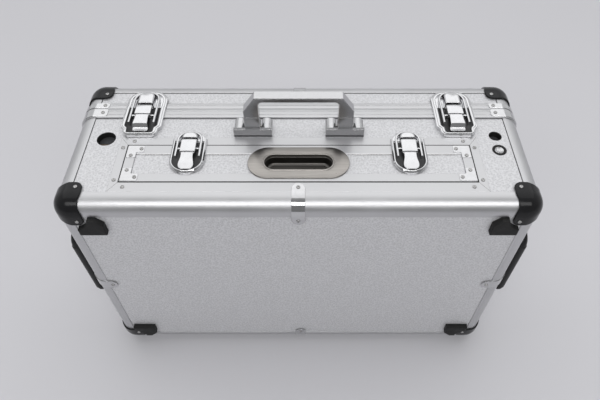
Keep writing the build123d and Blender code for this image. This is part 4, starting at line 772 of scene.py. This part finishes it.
class CASE_OT_rims(bpy.types.Operator):
    """Rims on both sides of the parting line, with their corner brackets"""

    bl_idname = "case.rims"
    bl_label = "Rims and brackets"

    def execute(self, context):
        for body, shape in (("body", body_rim()), ("lid", lid_rim())):
            add_piece(body + "_rim_ring", shape, "edging", body, "edge_aluminium", body + "_rim")
        for body in ("body", "lid"):
            name = body + "_rim_brackets"
            add_piece(body + "_corner_brackets", rim_brackets(*extent(name)[1:]), "strap", body,
                      "strap_chrome", name)
        return {"FINISHED"}


class CASE_OT_corners(bpy.types.Operator):
    """Black ball corners of the body and the lid"""

    bl_idname = "case.corners"
    bl_label = "Ball corners"

    def execute(self, context):
        for name, body in (("front", "body"), ("lid", "lid")):
            add_piece(name + "_ball_corners", ball_corners(body), "moulding", body, "ball_black",
                      name + "_corner_caps", sharp=50)
        return {"FINISHED"}


class CASE_OT_straps(bpy.types.Operator):
    """Bright straps over the edges, and all rivets"""

    bl_idname = "case.straps"
    bl_label = "Straps and rivets"

    def execute(self, context):
        for body in ("body", "lid"):
            add_piece(body + "_straps", edge_straps(body), "strap", body, "strap_chrome",
                      body + "_edge_straps")
        for body in ("body", "lid", "drawer"):
            name = body + "_rivets"
            add_piece(body + "_rivet_heads", rivets_of(name), "steel", body, "rivet_steel", name, sharp=40)
        return {"FINISHED"}


# Drawer front, flush pull, carrying handle, pads and linings.

RAILS = (12.0, 13.0, 14.8)     # widths of the drawer frame's sides, front and back
PULL_SLOT = (81.0, 23.6)
BASE_WIDTH = 47.2
DRAWER_GAP = 0.5


def mitres(x1, y0, y1, widths, low, high):
    """The four mitre joints of a frame whose strips have the given widths at the side, in front and behind:
    thin dark bars from the inner corners towards the outer ones, just proud of the frame."""
    side, front, back = widths
    bars = []
    for inner, outer in (((x1 - side, y0 + front), (x1, y0)), ((x1 - side, y1 - back), (x1, y1))):
        run = np.subtract(outer, inner)
        reach = float(np.linalg.norm(run))
        run = run / reach
        bar = [(-0.12, 0.0), (0.12, 0.0), (0.12, high - low), (-0.12, high - low)]
        bars.append(pushed(bar, (*(inner + run * 0.4), HEIGHT + low), reach - 0.8, (*run, 0.0),
                           (-run[1], run[0], 0.0)))
    return both_sides(joined(*bars))


def milled_line(x0, x1, y, low):
    """A milled edge: a bar whose upper line rises and falls as a square wave along its length."""
    count = int((x1 - x0) / 1.6)
    along = np.repeat(np.linspace(x0, x1, count + 1), 2)[1:-1]
    rise = np.tile([0.5, 0.5, 0.0, 0.0], count // 2 + 1)[:len(along)]
    lines = [(np.column_stack([along, np.full_like(along, y + side)]), low + height)
             for side, height in ((-0.35, -0.3), (-0.35, rise), (0.35, rise), (0.35, -0.3))]
    return grid_shape(np.swapaxes(layers(lines, HEIGHT), 0, 1))


def corner_plate(x1, y1):
    """An L-shaped plate on the drawer front's corner: each corner of the L is rounded by a square curve
    between the points a radius before and after it."""
    leg, width, radius = 20.0, 11.0, 1.5
    corners = np.array([(0, 0), (-leg, 0), (-leg, -width), (-width, -width), (-width, -leg), (0, -leg)])
    part = np.linspace(0, 1, 5)[:, None]
    outline = []
    for before, corner, after in zip(np.roll(corners, 1, 0), corners, np.roll(corners, -1, 0)):
        start = corner + (before - corner) / np.linalg.norm(before - corner) * radius
        end = corner + (after - corner) / np.linalg.norm(after - corner) * radius
        outline.append((1 - part) ** 2 * start + 2 * part * (1 - part) * corner + part ** 2 * end)
    outline = np.concatenate(outline) + (x1 - 1.2, y1 - 1.2)
    return shrunk(outline, outline.mean(0), ((1.0, 0.02), (1.0, 0.5), (0.985, 0.7)), HEIGHT)


def shrunk(outline, middle, steps, base=0.0, front=False):
    """A slab with eased edges: its outline drawn towards a middle, by a share at each level."""
    steps = [(middle + (outline - middle) * share, level) for share, level in steps]
    return capped(layers(steps, base, front))


def flush_pull():
    """The pull as two shapes, whose rows are stadiums drawn in: the plate, over its eased edge to the rolled
    lip round the slot; and the cup, from its outside up to the lip and down to its floor."""
    _, y0, y1 = extent("drawer_front_frame")
    low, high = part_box("flush_pull")
    outer = stadium((high[0] - low[0]) * 1000, (high[1] - low[1]) * 1000, (y0 + y1) / 2)
    slot = stadium(*PULL_SLOT, (y0 + y1) / 2)
    plate = [(outer, 0.2, 0.05), (outer, 0.0, 0.5), (outer, 0.15, 1.3), (outer, 0.5, 1.6), (slot, -2.2, 1.6),
             (slot, -1.9, 2.0), (slot, -1.5, 2.45), (slot, -0.9, 2.6), (slot, -0.4, 2.5), (slot, 0.0, 2.1),
             (slot, 0.3, 1.2), (slot, 0.35, -1.6), (slot, -1.0, -1.6), (slot, -1.0, 0.05)]
    cup = [(5.0, -14.0), (1.2, -13.6), (-0.8, -12.0), (-0.8, -1.65), (0.3, -1.65), (0.7, -1.9), (1.0, -2.6),
           (1.3, -9.5), (1.9, -11.4), (3.2, -12.4), (5.0, -12.8)]
    return (loft([(outline(inset), level) for outline, inset, level in plate], HEIGHT, ring=True),
            loft([(slot(inset), level) for inset, level in cup], HEIGHT))


def handle_bases():
    """The bases of the carrying handle: a front wall with the stop that the bow leans on, and two barrel lugs
    behind it, blocks with half round tops."""
    reach, y0, _ = extent("handle_bases")
    half, stop, foot = BASE_WIDTH / 2, 9.2, -1.2
    centre = reach - half
    front = mirrored([(half, foot), (half, 10.6), (half - 0.4, 11.0), (stop, 11.0), (stop, 30.4)])
    wall = pushed(front, (centre, y0, HEIGHT), 4.0)
    inner = stop + 0.4
    radius = (half - inner) / 2
    lug = [(-radius, foot), (radius, foot), *arc((0, 10.8 - radius), radius, 0, 180, 20)]
    lugs = [pushed(lug, (centre + side * (inner + radius), y0 + 3.9, HEIGHT), 18.1) for side in (1, -1)]
    return both_sides(wall), both_sides(joined(*lugs))


def bow_outline(foot, inset=0.0):
    """Front outline of the bow above a foot height: chamfered shoulders outside, rounded corners inside."""
    outside = [(65.7 - inset, foot), (65.7 - inset, 40.0 - 0.35 * inset), (51.5 - 0.35 * inset, 60.4 - inset)]
    inside = np.array([*arc((42.3 + inset, 49.0 + inset), 5.0, 90, 0, 10), (47.3 + inset, foot)])
    return np.concatenate([mirrored(outside), inside[::-1] * (-1, 1), inside])


def bow():
    """The bow: a bright skin pushed back along its outline, a satin face plate before and behind it, and the
    two legs that stand behind the stops, each with a rounded heel."""
    _, y0, y1 = extent("handle_bow")
    foot, depth, heel = 30.8, 13.2, 5.4
    skin = pushed(bow_outline(foot), (0, y0 + 0.5, HEIGHT), depth - 1.0)
    face = pushed(bow_outline(foot, 0.45), (0, y0, HEIGHT), depth)
    sole = (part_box("handle_bow")[0][2] * 1000 - ORIGIN[2]) - HEIGHT
    front = y0 + 4.4
    side = [(front, foot + 0.2), (front, 12.0), (front + 1.6, sole + 2.6),
            *arc((y1 - heel, sole + heel), heel, -110, 0, 12), (y0 + depth, 14.0), (y0 + depth, foot + 0.2)]
    leg = pushed(side, (47.3, 0, HEIGHT), 18.4, X, Y)
    return skin, joined(face, both_sides(leg))


def front_pads():
    """The pads of the front face, as their frame piece has them, with eased edges: a plate with one corner
    cut off and an arc scooped out of it round the ball corner's lobe."""
    x0, z1, radius = 24.0 - SIDE, HEIGHT - 21.6, 20.2
    right, low = x0 + 32.0, z1 - 27.0
    centre = np.array([26.5 / 1.4 - SIDE, HEIGHT - 26.5 / 1.4])
    dx, dz = x0 - centre[0], z1 - centre[1]
    start, end = -math.degrees(math.acos(dx / radius)), math.degrees(math.asin(dz / radius))
    scoop = arc(centre, radius, start, end, 16)
    outline = np.array([(x0, low), *scoop, (right - 9.0, z1), (right, z1 - 9.0), (right, low)])
    steps = ((1.0, 1.2), (1.0, -4.6), (0.985, -5.4), (0.95, -5.9), (0.90, -6.0))
    return both_sides(high_and_low(shrunk(outline, np.array([x0 + 18.0, low + 11.0]), steps, front=True)))


def lining(y_open, y_base):
    """A foam tray with soft corners: over the rolled rim at the opening, down inner walls that bow inwards a
    little, and over a slightly crowned base. A row has its inset and its depth."""
    outside, thick = 8.9, 4.0
    inside, step = outside + thick, 1.0 if y_base > y_open else -1.0
    deep = abs(y_base - y_open) - thick - 4.0
    rows = [(outside, y_base), (outside, y_open + 0.6 * step), (outside + 0.8, y_open),
            (inside - 0.8, y_open), (inside, y_open + 0.8 * step)]
    rows += [(inside + 0.9 * math.sin(math.pi * part), y_open + step * (0.8 + deep * part))
             for part in np.linspace(0.1, 1.0, 7)]
    rows += [(inside + 1.2, y_base - step * (thick + 1.0)), (inside + 3.0, y_base - step * thick),
             (inside + 60.0, y_base - step * (thick - 0.4)), (inside + 140.0, y_base - step * thick)]
    outline = shell_outline(0.0, 20.0, 7, 3.0)
    return loft([(outline(inset), y) for inset, y in rows], front=True)


def grown(x, y0, y1, room):
    """A square-cornered outline about the middle, larger by some room on every side."""
    return sharp_outline(-x - room, x + room, y0 - room, y1 + room)


class CASE_OT_drawer(bpy.types.Operator):
    """Drawer front: surround, frame, milled line, painted shade lines round the top panels, corner plates,
    mitre joints and flush pull
    """

    bl_idname = "case.drawer"
    bl_label = "Drawer front"

    def execute(self, context):
        x, y0, y1 = extent("drawer_front_frame")
        sx, s0, s1 = extent("drawer_surround")
        side, front, back = RAILS
        surround = ring_on_top(grown(sx, s0, s1, 0.0), grown(x, y0, y1, DRAWER_GAP), -1.2, -0.3, 0.3)
        add_piece("drawer_surround_frame", surround, "edging", "body", "edge_aluminium", "drawer_surround")
        rails = ring_on_top(grown(x, y0, y1, 0.0), sharp_outline(side - x, x - side, y0 + front, y1 - back),
                            -3.4, 0.0, 0.45)
        add_piece("drawer_rails", rails, "edging", "drawer", "edge_aluminium", "drawer_front_frame")
        widths = (sx - x - DRAWER_GAP, y0 - DRAWER_GAP - s0, s1 - y1 - DRAWER_GAP)
        add_piece("surround_mitres", mitres(sx, s0, s1, widths, -0.5, -0.27), "seam", "body", "pad_black")
        add_piece("drawer_mitres", mitres(x, y0, y1, RAILS, -0.3, 0.03), "seam", "drawer", "pad_black")
        line = milled_line(20.0 - x, -64.0, y1 - back - 0.35, -0.75)
        add_piece("drawer_milled_line", both_sides(line), "steel", "drawer", "edge_aluminium")
        leg = sizes().bead_leg
        back = extent("lid_side_profiles")[1]
        # Painted shade: black lines round the edges of the top panels of the body and the lid, under the
        # extrusions' lips and the rims.
        for body, *place in (("body", SIDE - leg, leg, RIM_FRONT), ("lid", SIDE - leg, back, DEPTH - leg)):
            shade_line = ring_on_top(grown(*place, 0.0), grown(*place, -0.55), -1.4, -0.98, 0.1)
            add_piece(body + "_panel_seal", shade_line, "seam", body, "pad_black")
        plate = corner_plate(x, y1)
        plates = both_sides(joined(plate, flipped(plate, 1, (y0 + y1) / 2)))
        add_piece("drawer_plates", plates, "strap", "drawer", "strap_chrome", "drawer_corner_plates")
        plate, cup = flush_pull()
        add_piece("drawer_pull", plate, "nickel", "drawer", "pull_nickel", "flush_pull", sharp=50)
        # The cup's inside takes the nickel darkened as painted shade.
        add_piece("drawer_pull_cup", cup, "cup", "drawer", "pull_nickel", sharp=50)
        return {"FINISHED"}


class CASE_OT_handle(bpy.types.Operator):
    """Carrying handle: the walls and lugs of its bases, and its bow"""

    bl_idname = "case.handle"
    bl_label = "Carrying handle"

    def execute(self, context):
        walls, lugs = handle_bases()
        # The handle's metal in two copies: darkened as painted shade on the front and back faces, brighter
        # plating as painted highlight on the tops, sides and lugs.
        add_piece("handle_base_walls", walls, "casting", "body", "handle_silver", "handle_bases")
        add_piece("handle_base_lugs", lugs, "polished", "body", "handle_silver")
        skin, faces = bow()
        add_piece("handle_bow_skin", skin, "polished", "handle", "handle_silver", "handle_bow", sharp=20)
        add_piece("handle_bow_faces", faces, "casting", "handle", "handle_silver")
        return {"FINISHED"}


class CASE_OT_pads(bpy.types.Operator):
    """Front pads and both foam linings"""

    bl_idname = "case.pads"
    bl_label = "Pads and linings"

    def execute(self, context):
        add_piece("front_rubber_pads", front_pads(), "rubber", "body", "pad_black", "front_pads")
        for body, turn in (("body", -1), ("lid", 1)):
            name = body + "_lining"
            shape = lining(*extent(name)[1:][::turn])
            foam = add_piece(body + "_foam", shape, "felt", body, "lining_felt", name)
        return {"FINISHED"}


# Draw latches. Depths are counted from the front plane, heights from the face that a latch is riveted to. A
# lever's stations, from its pivot to its lip, are depths, heights of its top, half widths and cheeks.

SHEET = 1.1
FLANGE = 0.34     # share of a pressed rim's width where its flange ends
LID_LATCH = SimpleNamespace(
    name="lid", x=197.0, seat=RIM_PROUD, height=9.6, half=25.4, half_front=21.5, front=108.0, front_share=0.5,
    shoulder=121.0, step=RIM_FRONT, skirt=-2.6, back=157.8, corner=8.0, rim=4.4, wall=5.4, floor_end=157.8,
    keeper=(158.6, 189.2), keeper_half=25.4, keeper_corner=18.0, keeper_rim=3.2, keeper_low=0.0,
    dome=(158.6, 180.7, 9.9), pivot=(153.0, 5.2), ear=2.95, crank=(141.0, 4.0), pin=1.3, lever_half=9.9,
    arm_start=126.5, link_half=17.0, link_end=184.0, link_low=1.8, link_high=7.0,
    stations=(
        (155.6, 8.9, 9.4, 6.2), (155.1, 9.2, 9.8, 7.0), (154.3, 9.48, 9.9, 7.7), (153.0, 9.6, 9.9, 8.1),
        (149.5, 9.6, 9.9, 7.7), (139.6, 9.6, 9.9, 7.7), (139.2, 9.45, 9.9, 7.5), (139.0, 7.6, 9.8, 5.7),
        (138.2, 7.6, 8.2, 5.7), (138.0, 8.9, 8.2, 7.0), (137.7, 9.0, 8.2, 7.0), (137.6, 9.0, 8.2, 1.1),
        (130.0, 9.0, 8.5, 1.1), (122.5, 9.0, 8.95, 1.1), (122.0, 8.8, 9.0, 1.1), (121.6, 8.2, 9.05, 1.1),
        (119.7, 4.0, 9.5, 1.3), (119.2, 3.5, 9.6, 1.1), (117.6, 3.2, 9.6, 1.1), (115.5, 3.3, 9.3, 1.1),
        (114.3, 3.75, 8.7, 1.1), (113.5, 4.1, 7.9, 1.1), (113.05, 4.0, 6.8, 1.1),
    ),
)
DRAWER_LATCH = SimpleNamespace(
    name="drawer", x=132.5, seat=0.0, height=8.0, half=20.8, half_front=20.8, front=47.6, front_share=0.9,
    shoulder=78.0, step=101.4, skirt=0.0, back=101.9, corner=20.3, rim=4.2, wall=3.2, floor_end=97.2,
    keeper=(99.7, 117.1), keeper_half=18.0, keeper_corner=17.0, keeper_rim=0.0, keeper_low=-0.3,
    dome=(99.7, 110.1, 8.3), pivot=(95.2, 4.4), ear=2.15, crank=(85.2, 3.4), pin=1.1, lever_half=9.2,
    arm_start=71.5, link_half=15.7, link_end=113.4, link_low=1.5, link_high=5.8,
    stations=(
        (97.3, 7.4, 8.7, 4.6), (96.9, 7.7, 9.1, 5.4), (96.2, 7.93, 9.2, 6.1), (95.2, 8.0, 9.2, 6.5),
        (92.0, 8.0, 9.2, 6.5), (82.2, 8.0, 9.2, 6.5), (82.1, 8.0, 9.2, 1.1), (77.3, 8.0, 9.2, 1.1),
        (76.95, 7.8, 9.2, 1.1), (76.75, 5.8, 9.1, 1.1), (75.7, 5.8, 7.4, 1.1), (75.5, 7.2, 7.4, 1.1),
        (72.0, 6.85, 7.35, 1.1), (68.5, 6.4, 7.5, 1.1), (64.5, 5.9, 8.3, 1.1), (61.2, 5.5, 9.1, 1.1),
        (58.5, 4.95, 9.3, 1.1), (56.0, 4.4, 8.9, 1.1), (54.2, 4.05, 7.9, 1.1), (53.0, 3.8, 6.4, 1.1),
        (52.4, 3.7, 4.6, 1.1),
    ),
)


def lever(latch):
    """A pressed lever: each station across it is a channel section whose top is z + c (1 - (x / w)^2), with
    rounded shoulders, and whose cheeks hang down where the pins pass. Its heel is level underneath."""
    shoulder, crown = 0.9, 0.35
    steps = []
    for y, top, half, cheek in latch.stations:
        flat = half - shoulder
        across = np.linspace(flat, -flat, 9)[1:-1]
        right = arc((flat, top - shoulder), shoulder, 0, 90, 6)
        under = np.linspace(SHEET - half, half - SHEET, 5)
        level = (top if y <= latch.pivot[0] else latch.height) - SHEET
        foot = top - cheek
        steps.append((np.concatenate([
            [(half, foot)], right, np.column_stack([across, top + crown * (1 - (across / flat) ** 2)]),
            right[::-1] * (-1, 1), [(-half, foot), (SHEET - half, foot)],
            np.column_stack([under, level + crown * (1 - (under / half) ** 2)]), [(half - SHEET, foot)],
        ]), y))
    return loft(steps, front=True)


def channel(path, section, foot=None):
    """A wall along an open path from its section's insets and heights; what stands at nought goes down to the
    foot."""
    lines = [(path(inset), height) for inset, height in section]
    if foot:
        lines = [(line, level if level > 0 else foot(line[:, 1])) for line, level in lines]
    return grid_shape(np.swapaxes(layers(lines), 0, 1))


def rolled_edge(latch, rim, outer, inner):
    """Section of a pressed rim: up its outer side, over a flange and a rolled edge, and down inside."""
    wall, flange = latch.wall, FLANGE * latch.wall
    return [*outer, (flange + 0.4, rim - 0.3), (flange + 1.0, rim), (wall - 0.7, rim),
            (wall - 0.2, rim - 0.3), (wall, rim - 0.9), (wall, inner)]


def base_path(latch):
    """Plan of a base's outer edge from its right end round the front to its left end, by inset."""
    def path(inset):
        wide, near = latch.half - inset, latch.half_front - inset
        radius = max(latch.corner - inset, 0.3)
        turn = arc((near - radius, latch.front + inset * latch.front_share + radius), radius, 0, -90, 12)
        slope = wide - 0.3 * (latch.half - latch.half_front)
        return mirrored([
            (wide, latch.back), (wide, latch.step + 0.05), (wide, latch.step - 0.05),
            (wide, latch.shoulder + 2.6), (slope, latch.shoulder + 0.9), (near, latch.shoulder - 2.0), *turn])

    return path


def latch_base(latch):
    """A base: a rolled rim round three sides, and two ears for the pin."""
    rim = latch.rim
    outer = [(0.0, 0.0), (0.0, rim - 2.2), (0.3, rim - 1.6), (FLANGE * latch.wall, rim - 1.1)]
    ring = channel(base_path(latch), rolled_edge(latch, rim, outer, 0.0),
                   lambda y: np.where(y < RIM_FRONT, latch.skirt, 0.0))
    y, z = latch.pivot
    profile = [(y - latch.ear, 1.0), (y + latch.ear, 1.0), *arc((y, z), latch.ear, 0, 180, 14)]
    ear = pushed(profile, (latch.lever_half - SHEET - 0.35 - 1.3, 0, 0), 1.3, X, Y)
    return joined(ring, both_sides(ear))


def latch_floor(latch):
    """The flat floor inside a base's rim, open to the back."""
    line = base_path(latch)(latch.wall - 0.2)
    line = line[line[:, 1] < latch.floor_end]
    line = [(line[0][0], latch.floor_end), *line, (line[-1][0], latch.floor_end)]
    return pushed(line, (0, 0, 0.02), 1.18, Z, X, Y)


def round_end(half, starts, end, corner, steps):
    """Plan of a U from its right end round its closed back to its left end, by inset."""
    def path(inset):
        turn = arc((half - corner, end - corner), corner - inset, 0, 90, steps)
        return mirrored([*[(half - inset, y) for y in starts], *turn])

    return path


def latch_link(latch):
    """The loop: a rounded bar bent in a U over the dome, with a stub pin on each arm."""
    arm, ease, low, high, half = 3.0, 1.4, latch.link_low, latch.link_high, latch.link_half
    path = round_end(half, (latch.arm_start, latch.arm_start + 0.5), latch.link_end, half - 1.5, 14)
    over = [(inset, high - drop) for inset, drop in quarter(ease, 5)]
    section = [(0.35, low), (0.0, low + 0.4), *over, *[(arm - x, z) for x, z in over[::-1]], (arm, low + 0.4),
               (arm - 0.35, low)]
    inner = latch.lever_half - SHEET
    stub = pushed(disc(*latch.crank, latch.pin, 16), (inner, 0, 0), half - arm + 0.5 - inner, X, Y)
    return joined(channel(path, section), both_sides(stub))


def latch_keeper(latch):
    """The keeper: a plate with a round back, a rim on the lid's, and the dome that the loop pulls on."""
    (y0, y1), half, corner, low = latch.keeper, latch.keeper_half, latch.keeper_corner, latch.keeper_low
    start, end, high = latch.dome
    plate = round_outline(-half, half, y0, y1, [corner, corner, 0.4, 0.4], 12)

    def dome(inset):
        wide, back = latch.lever_half - inset, max(latch.lever_half * 0.85 - inset, 0.3)
        return round_outline(-wide, wide, start + 0.12 * inset, end - inset, [back, back, 0.3, 0.3], 12)(0.0)

    shapes = [rounded_slab(plate, low, low + 1.2, 0.5), rounded_slab(dome, low + 0.6, high, 2.6, 7)]
    rim = latch.keeper_rim
    if rim:
        path = round_end(half, (y0,), y1, corner, 12)
        outer = [(0.0, 0.05), (0.0, rim - 1.6), (0.3, rim - 1.2), (FLANGE * latch.wall, rim - 0.9)]
        shapes.append(channel(path, rolled_edge(latch, rim, outer, 0.9)))
        foot = sharp_outline(half - latch.wall, half, latch.skirt, 0.1)()
        shapes.append(both_sides(pushed(foot, (0, y0 + 16.0, 0), 0.2)))
    return joined(*shapes)


class CASE_OT_latches(bpy.types.Operator):
    """Draw latches of the lid and the drawer: bases, keepers, levers and loops"""

    bl_idname = "case.latches"
    bl_label = "Draw latches"

    def execute(self, context):
        for latch, base_body, keeper_body in ((LID_LATCH, "body", "lid"), (DRAWER_LATCH, "drawer", "body")):
            right, left = [(side * latch.x, 0, HEIGHT + latch.seat) for side in (1, -1)]
            base, floor, keeper = [joined(put(made, right), put(made, left)) for made in (
                latch_base(latch), latch_floor(latch), latch_keeper(latch))]
            stem = latch.name + "_latch_"
            add_piece(stem + "rims", base, "plated", base_body, "latch_chrome", stem + "bases", sharp=40)
            # The floors inside the bases take the near-black painted shade finish.
            add_piece(stem + "wells", floor, "well", base_body, "latch_chrome")
            add_piece(stem + "catches", keeper, "plated", keeper_body, "latch_chrome", stem + "keepers",
                      sharp=40)
            for place, word in ((right, "right"), (left, "left")):
                for key, maker in (("lever", lever), ("link", latch_link)):
                    name = f"{latch.name}_{key}_{word}"
                    add_piece(name + "_pressed", put(maker(latch), place), "plated", name, "latch_chrome",
                              name, sharp=34)
        return {"FINISHED"}


# Holes and the socket in the top panel: the middle and the radius of each hole, and the socket's middle.

HOLES = ((-237.5, 106.2, 11.7), (243.1, 110.9, 8.0))
SOCKET = (243.1, 87.0)


def turned(x, y, steps, count=48, ring=True):
    """A ring or a disc on the top face from the radii and heights of its section."""
    return loft([(disc(x, y, radius, count), level) for radius, level in steps], HEIGHT, ring=ring)


class CASE_OT_fittings(bpy.types.Operator):
    """Hole liners, the socket's collar and bright dish, and the painted shade line in the drawer's gap"""

    bl_idname = "case.fittings"
    bl_label = "Holes and socket"

    def execute(self, context):
        liners = [turned(x, y, ((radius - 0.02, -9.0), (radius - 0.02, -1.5), (radius - 0.9, -2.2),
                                (radius - 0.9, -9.0))) for x, y, radius in HOLES]
        add_piece("hole_liners", joined(*liners), "rubber", "body", "pad_black")
        collar = turned(*SOCKET, ((8.6, -1.25), (8.6, -0.75), (8.2, -0.35), (6.3, -0.3), (5.7, -0.7),
                                  (5.7, -5.0), (7.2, -5.0), (7.2, -1.25)))
        add_piece("socket_collar", collar, "rubber", "body", "pad_black", "socket_insert")
        dish = turned(*SOCKET, ((5.5, -5.0), (5.5, -1.2), (5.0, -0.9), (4.5, -1.1), (3.5, -1.9), (1.9, -2.2),
                                (1.5, -2.2), (1.45, -1.5), (0.5, -1.4)), 40, ring=False)
        add_piece("socket_shell", dish, "strap", "body", "socket_metal")
        # Painted shade: a black strip in the gap round the drawer front, reaching over the rails' outer edge.
        place = extent("drawer_front_frame")
        line = ring_on_top(grown(*place, DRAWER_GAP - 0.02), grown(*place, -0.7), -3.0, 0.06, 0.05)
        add_piece("drawer_gap_line", line, "seam", "drawer", "pad_black")
        return {"FINISHED"}


# Finishes of the frame and the studio. Each node of the frame takes the finish of the first word here that
# its name holds; the rest are steel. The world's levels are its strength from front to back, the camera's
# focus and shift are in pixels of the photo, and its place is counted from the top of the shell's front face.

NODE_WORDS = {
    "tray": "plywood", "boards": "plywood", "divider": "plywood", "panel": "board", "profiles": "edging",
    "brackets": "plated", "rim": "edging", "surround": "edging", "frame": "edging", "caps": "moulding",
    "pins": "steel", "straps": "plated", "plates": "plated", "latch": "plated", "lever": "plated",
    "link": "plated", "lining": "felt", "pads": "rubber", "feet": "rubber", "handle": "casting",
    "bail": "grip", "pull": "nickel", "": "steel",
}
LAMPS = (
    ("soft_box_above", (0.0, 1.4, 3.6), (0.0, 0.0, 0.2), (8.0, 4.2), 68.0),
    ("soft_box_front", (0.0, -2.3, 2.8), (0.0, 0.0, 0.1), (4.5, 1.1), 57.0),
)
WORLD_LEVELS = (-0.65, 0.60, 0.25, 0.74)
SENSOR = 36.0
PHOTO_WIDTH, PHOTO_FOCUS, PHOTO_SHIFT = 600, 539.7, -6.7
CAMERA_PLACE = (0.0096, -0.3674, 0.4728)
CAMERA_DOWN = 51.49


class CASE_OT_frame_finishes(bpy.types.Operator):
    """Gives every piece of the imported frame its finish"""

    bl_idname = "case.frame_finishes"
    bl_label = "Frame finishes"

    def execute(self, context):
        for name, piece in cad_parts.items():
            key = next(key for word, key in NODE_WORDS.items() if word in name)
            for slot in piece.material_slots:
                slot.material = finish(key)
        return {"FINISHED"}


class CASE_OT_stage(bpy.types.Operator):
    """Builds the pale floor, the soft lamps, the world and the camera"""

    bl_idname = "case.stage"
    bl_label = "Studio"

    def execute(self, context):
        scene = context.scene
        mesh = bpy.data.meshes.new("studio_floor")
        mesh.from_pydata([(-6, -5, 0), (6, -5, 0), (6, 7, 0), (-6, 7, 0)], [], [(0, 1, 2, 3)])
        mesh.materials.append(finish("studio_floor"))
        floor = bpy.data.objects.new("studio_floor", mesh)
        scene.collection.objects.link(floor)
        for name, place, aim, size, power in LAMPS:
            data = bpy.data.lights.new(name, "AREA")
            data.shape = "RECTANGLE"
            data.size, data.size_y = size
            data.energy = power
            lamp = bpy.data.objects.new(name, data)
            lamp.location = place
            lamp.rotation_euler = direction_to(place, aim)
            scene.collection.objects.link(lamp)
        scene.world = studio_world()
        scene.view_settings.view_transform = "Standard"
        data = bpy.data.cameras.new("photo_camera")
        data.sensor_width = SENSOR
        data.lens = PHOTO_FOCUS / PHOTO_WIDTH * SENSOR
        data.shift_x = PHOTO_SHIFT / PHOTO_WIDTH
        data.clip_start = 0.01
        camera = bpy.data.objects.new("photo_camera", data)
        x, y, z = CAMERA_PLACE
        camera.location = (x, ORIGIN[1] + y, ORIGIN[2] + HEIGHT / 1000 + z)
        camera.rotation_euler = (math.radians(90 - CAMERA_DOWN), 0, 0)
        scene.collection.objects.link(camera)
        scene.camera = camera
        return {"FINISHED"}


def direction_to(place, aim):
    """Turn that points a lamp's face from its place to its aim."""
    run = np.subtract(aim, place)
    tilt = math.acos(-run[2] / np.linalg.norm(run))
    return (tilt, 0.0, math.atan2(run[1], run[0]) - math.pi / 2)


def studio_world():
    """An even studio: pale above and behind, darker in front near the horizon."""
    world = bpy.data.worlds.new("studio_world")
    world.use_nodes = True
    tree = world.node_tree
    background = tree.nodes["Background"]
    place = node(tree, "ShaderNodeTexCoord", output="Generated")
    along = node(tree, "ShaderNodeSeparateXYZ", {0: place}, "Y")
    level = spread(tree, along, *WORLD_LEVELS, interpolation_type="SMOOTHSTEP")
    tree.links.new(level, background.inputs["Strength"])
    background.inputs["Color"].default_value = (0.98, 0.99, 1.0, 1.0)
    return world


class CASE_PT_panel(bpy.types.Panel):
    """Lists the sizes, the colours and the steps that dress the case"""

    bl_idname = "CASE_PT_panel"
    bl_label = "Equipment case"
    bl_space_type = "VIEW_3D"
    bl_region_type = "UI"
    bl_category = "Case"

    def draw(self, context):
        layout = self.layout
        for group in (context.scene.case_sizes, context.scene.case_colours):
            column = layout.column(align=True)
            for key in type(group).__annotations__:
                column.prop(group, key)
        for step in STEPS:
            layout.operator(step.bl_idname)


STEPS = (
    CASE_OT_frame_finishes,
    CASE_OT_extrusions,
    CASE_OT_rims,
    CASE_OT_corners,
    CASE_OT_straps,
    CASE_OT_drawer,
    CASE_OT_handle,
    CASE_OT_pads,
    CASE_OT_latches,
    CASE_OT_fittings,
    CASE_OT_stage,
)
CLASSES = (CaseSizes, CaseColours, *STEPS, CASE_PT_panel)


def register():
    """Registers the classes and puts the settings on the scene."""
    for each in CLASSES:
        bpy.utils.register_class(each)
    bpy.types.Scene.case_sizes = bpy.props.PointerProperty(type=CaseSizes)
    bpy.types.Scene.case_colours = bpy.props.PointerProperty(type=CaseColours)


def unregister():
    """Takes the settings and the classes away again."""
    del bpy.types.Scene.case_colours
    del bpy.types.Scene.case_sizes
    for each in reversed(CLASSES):
        bpy.utils.unregister_class(each)


def main():
    register()
    for step in STEPS:
        area, name = step.bl_idname.split(".")
        getattr(getattr(bpy.ops, area), name)()


if __name__ == "__main__":
    main()
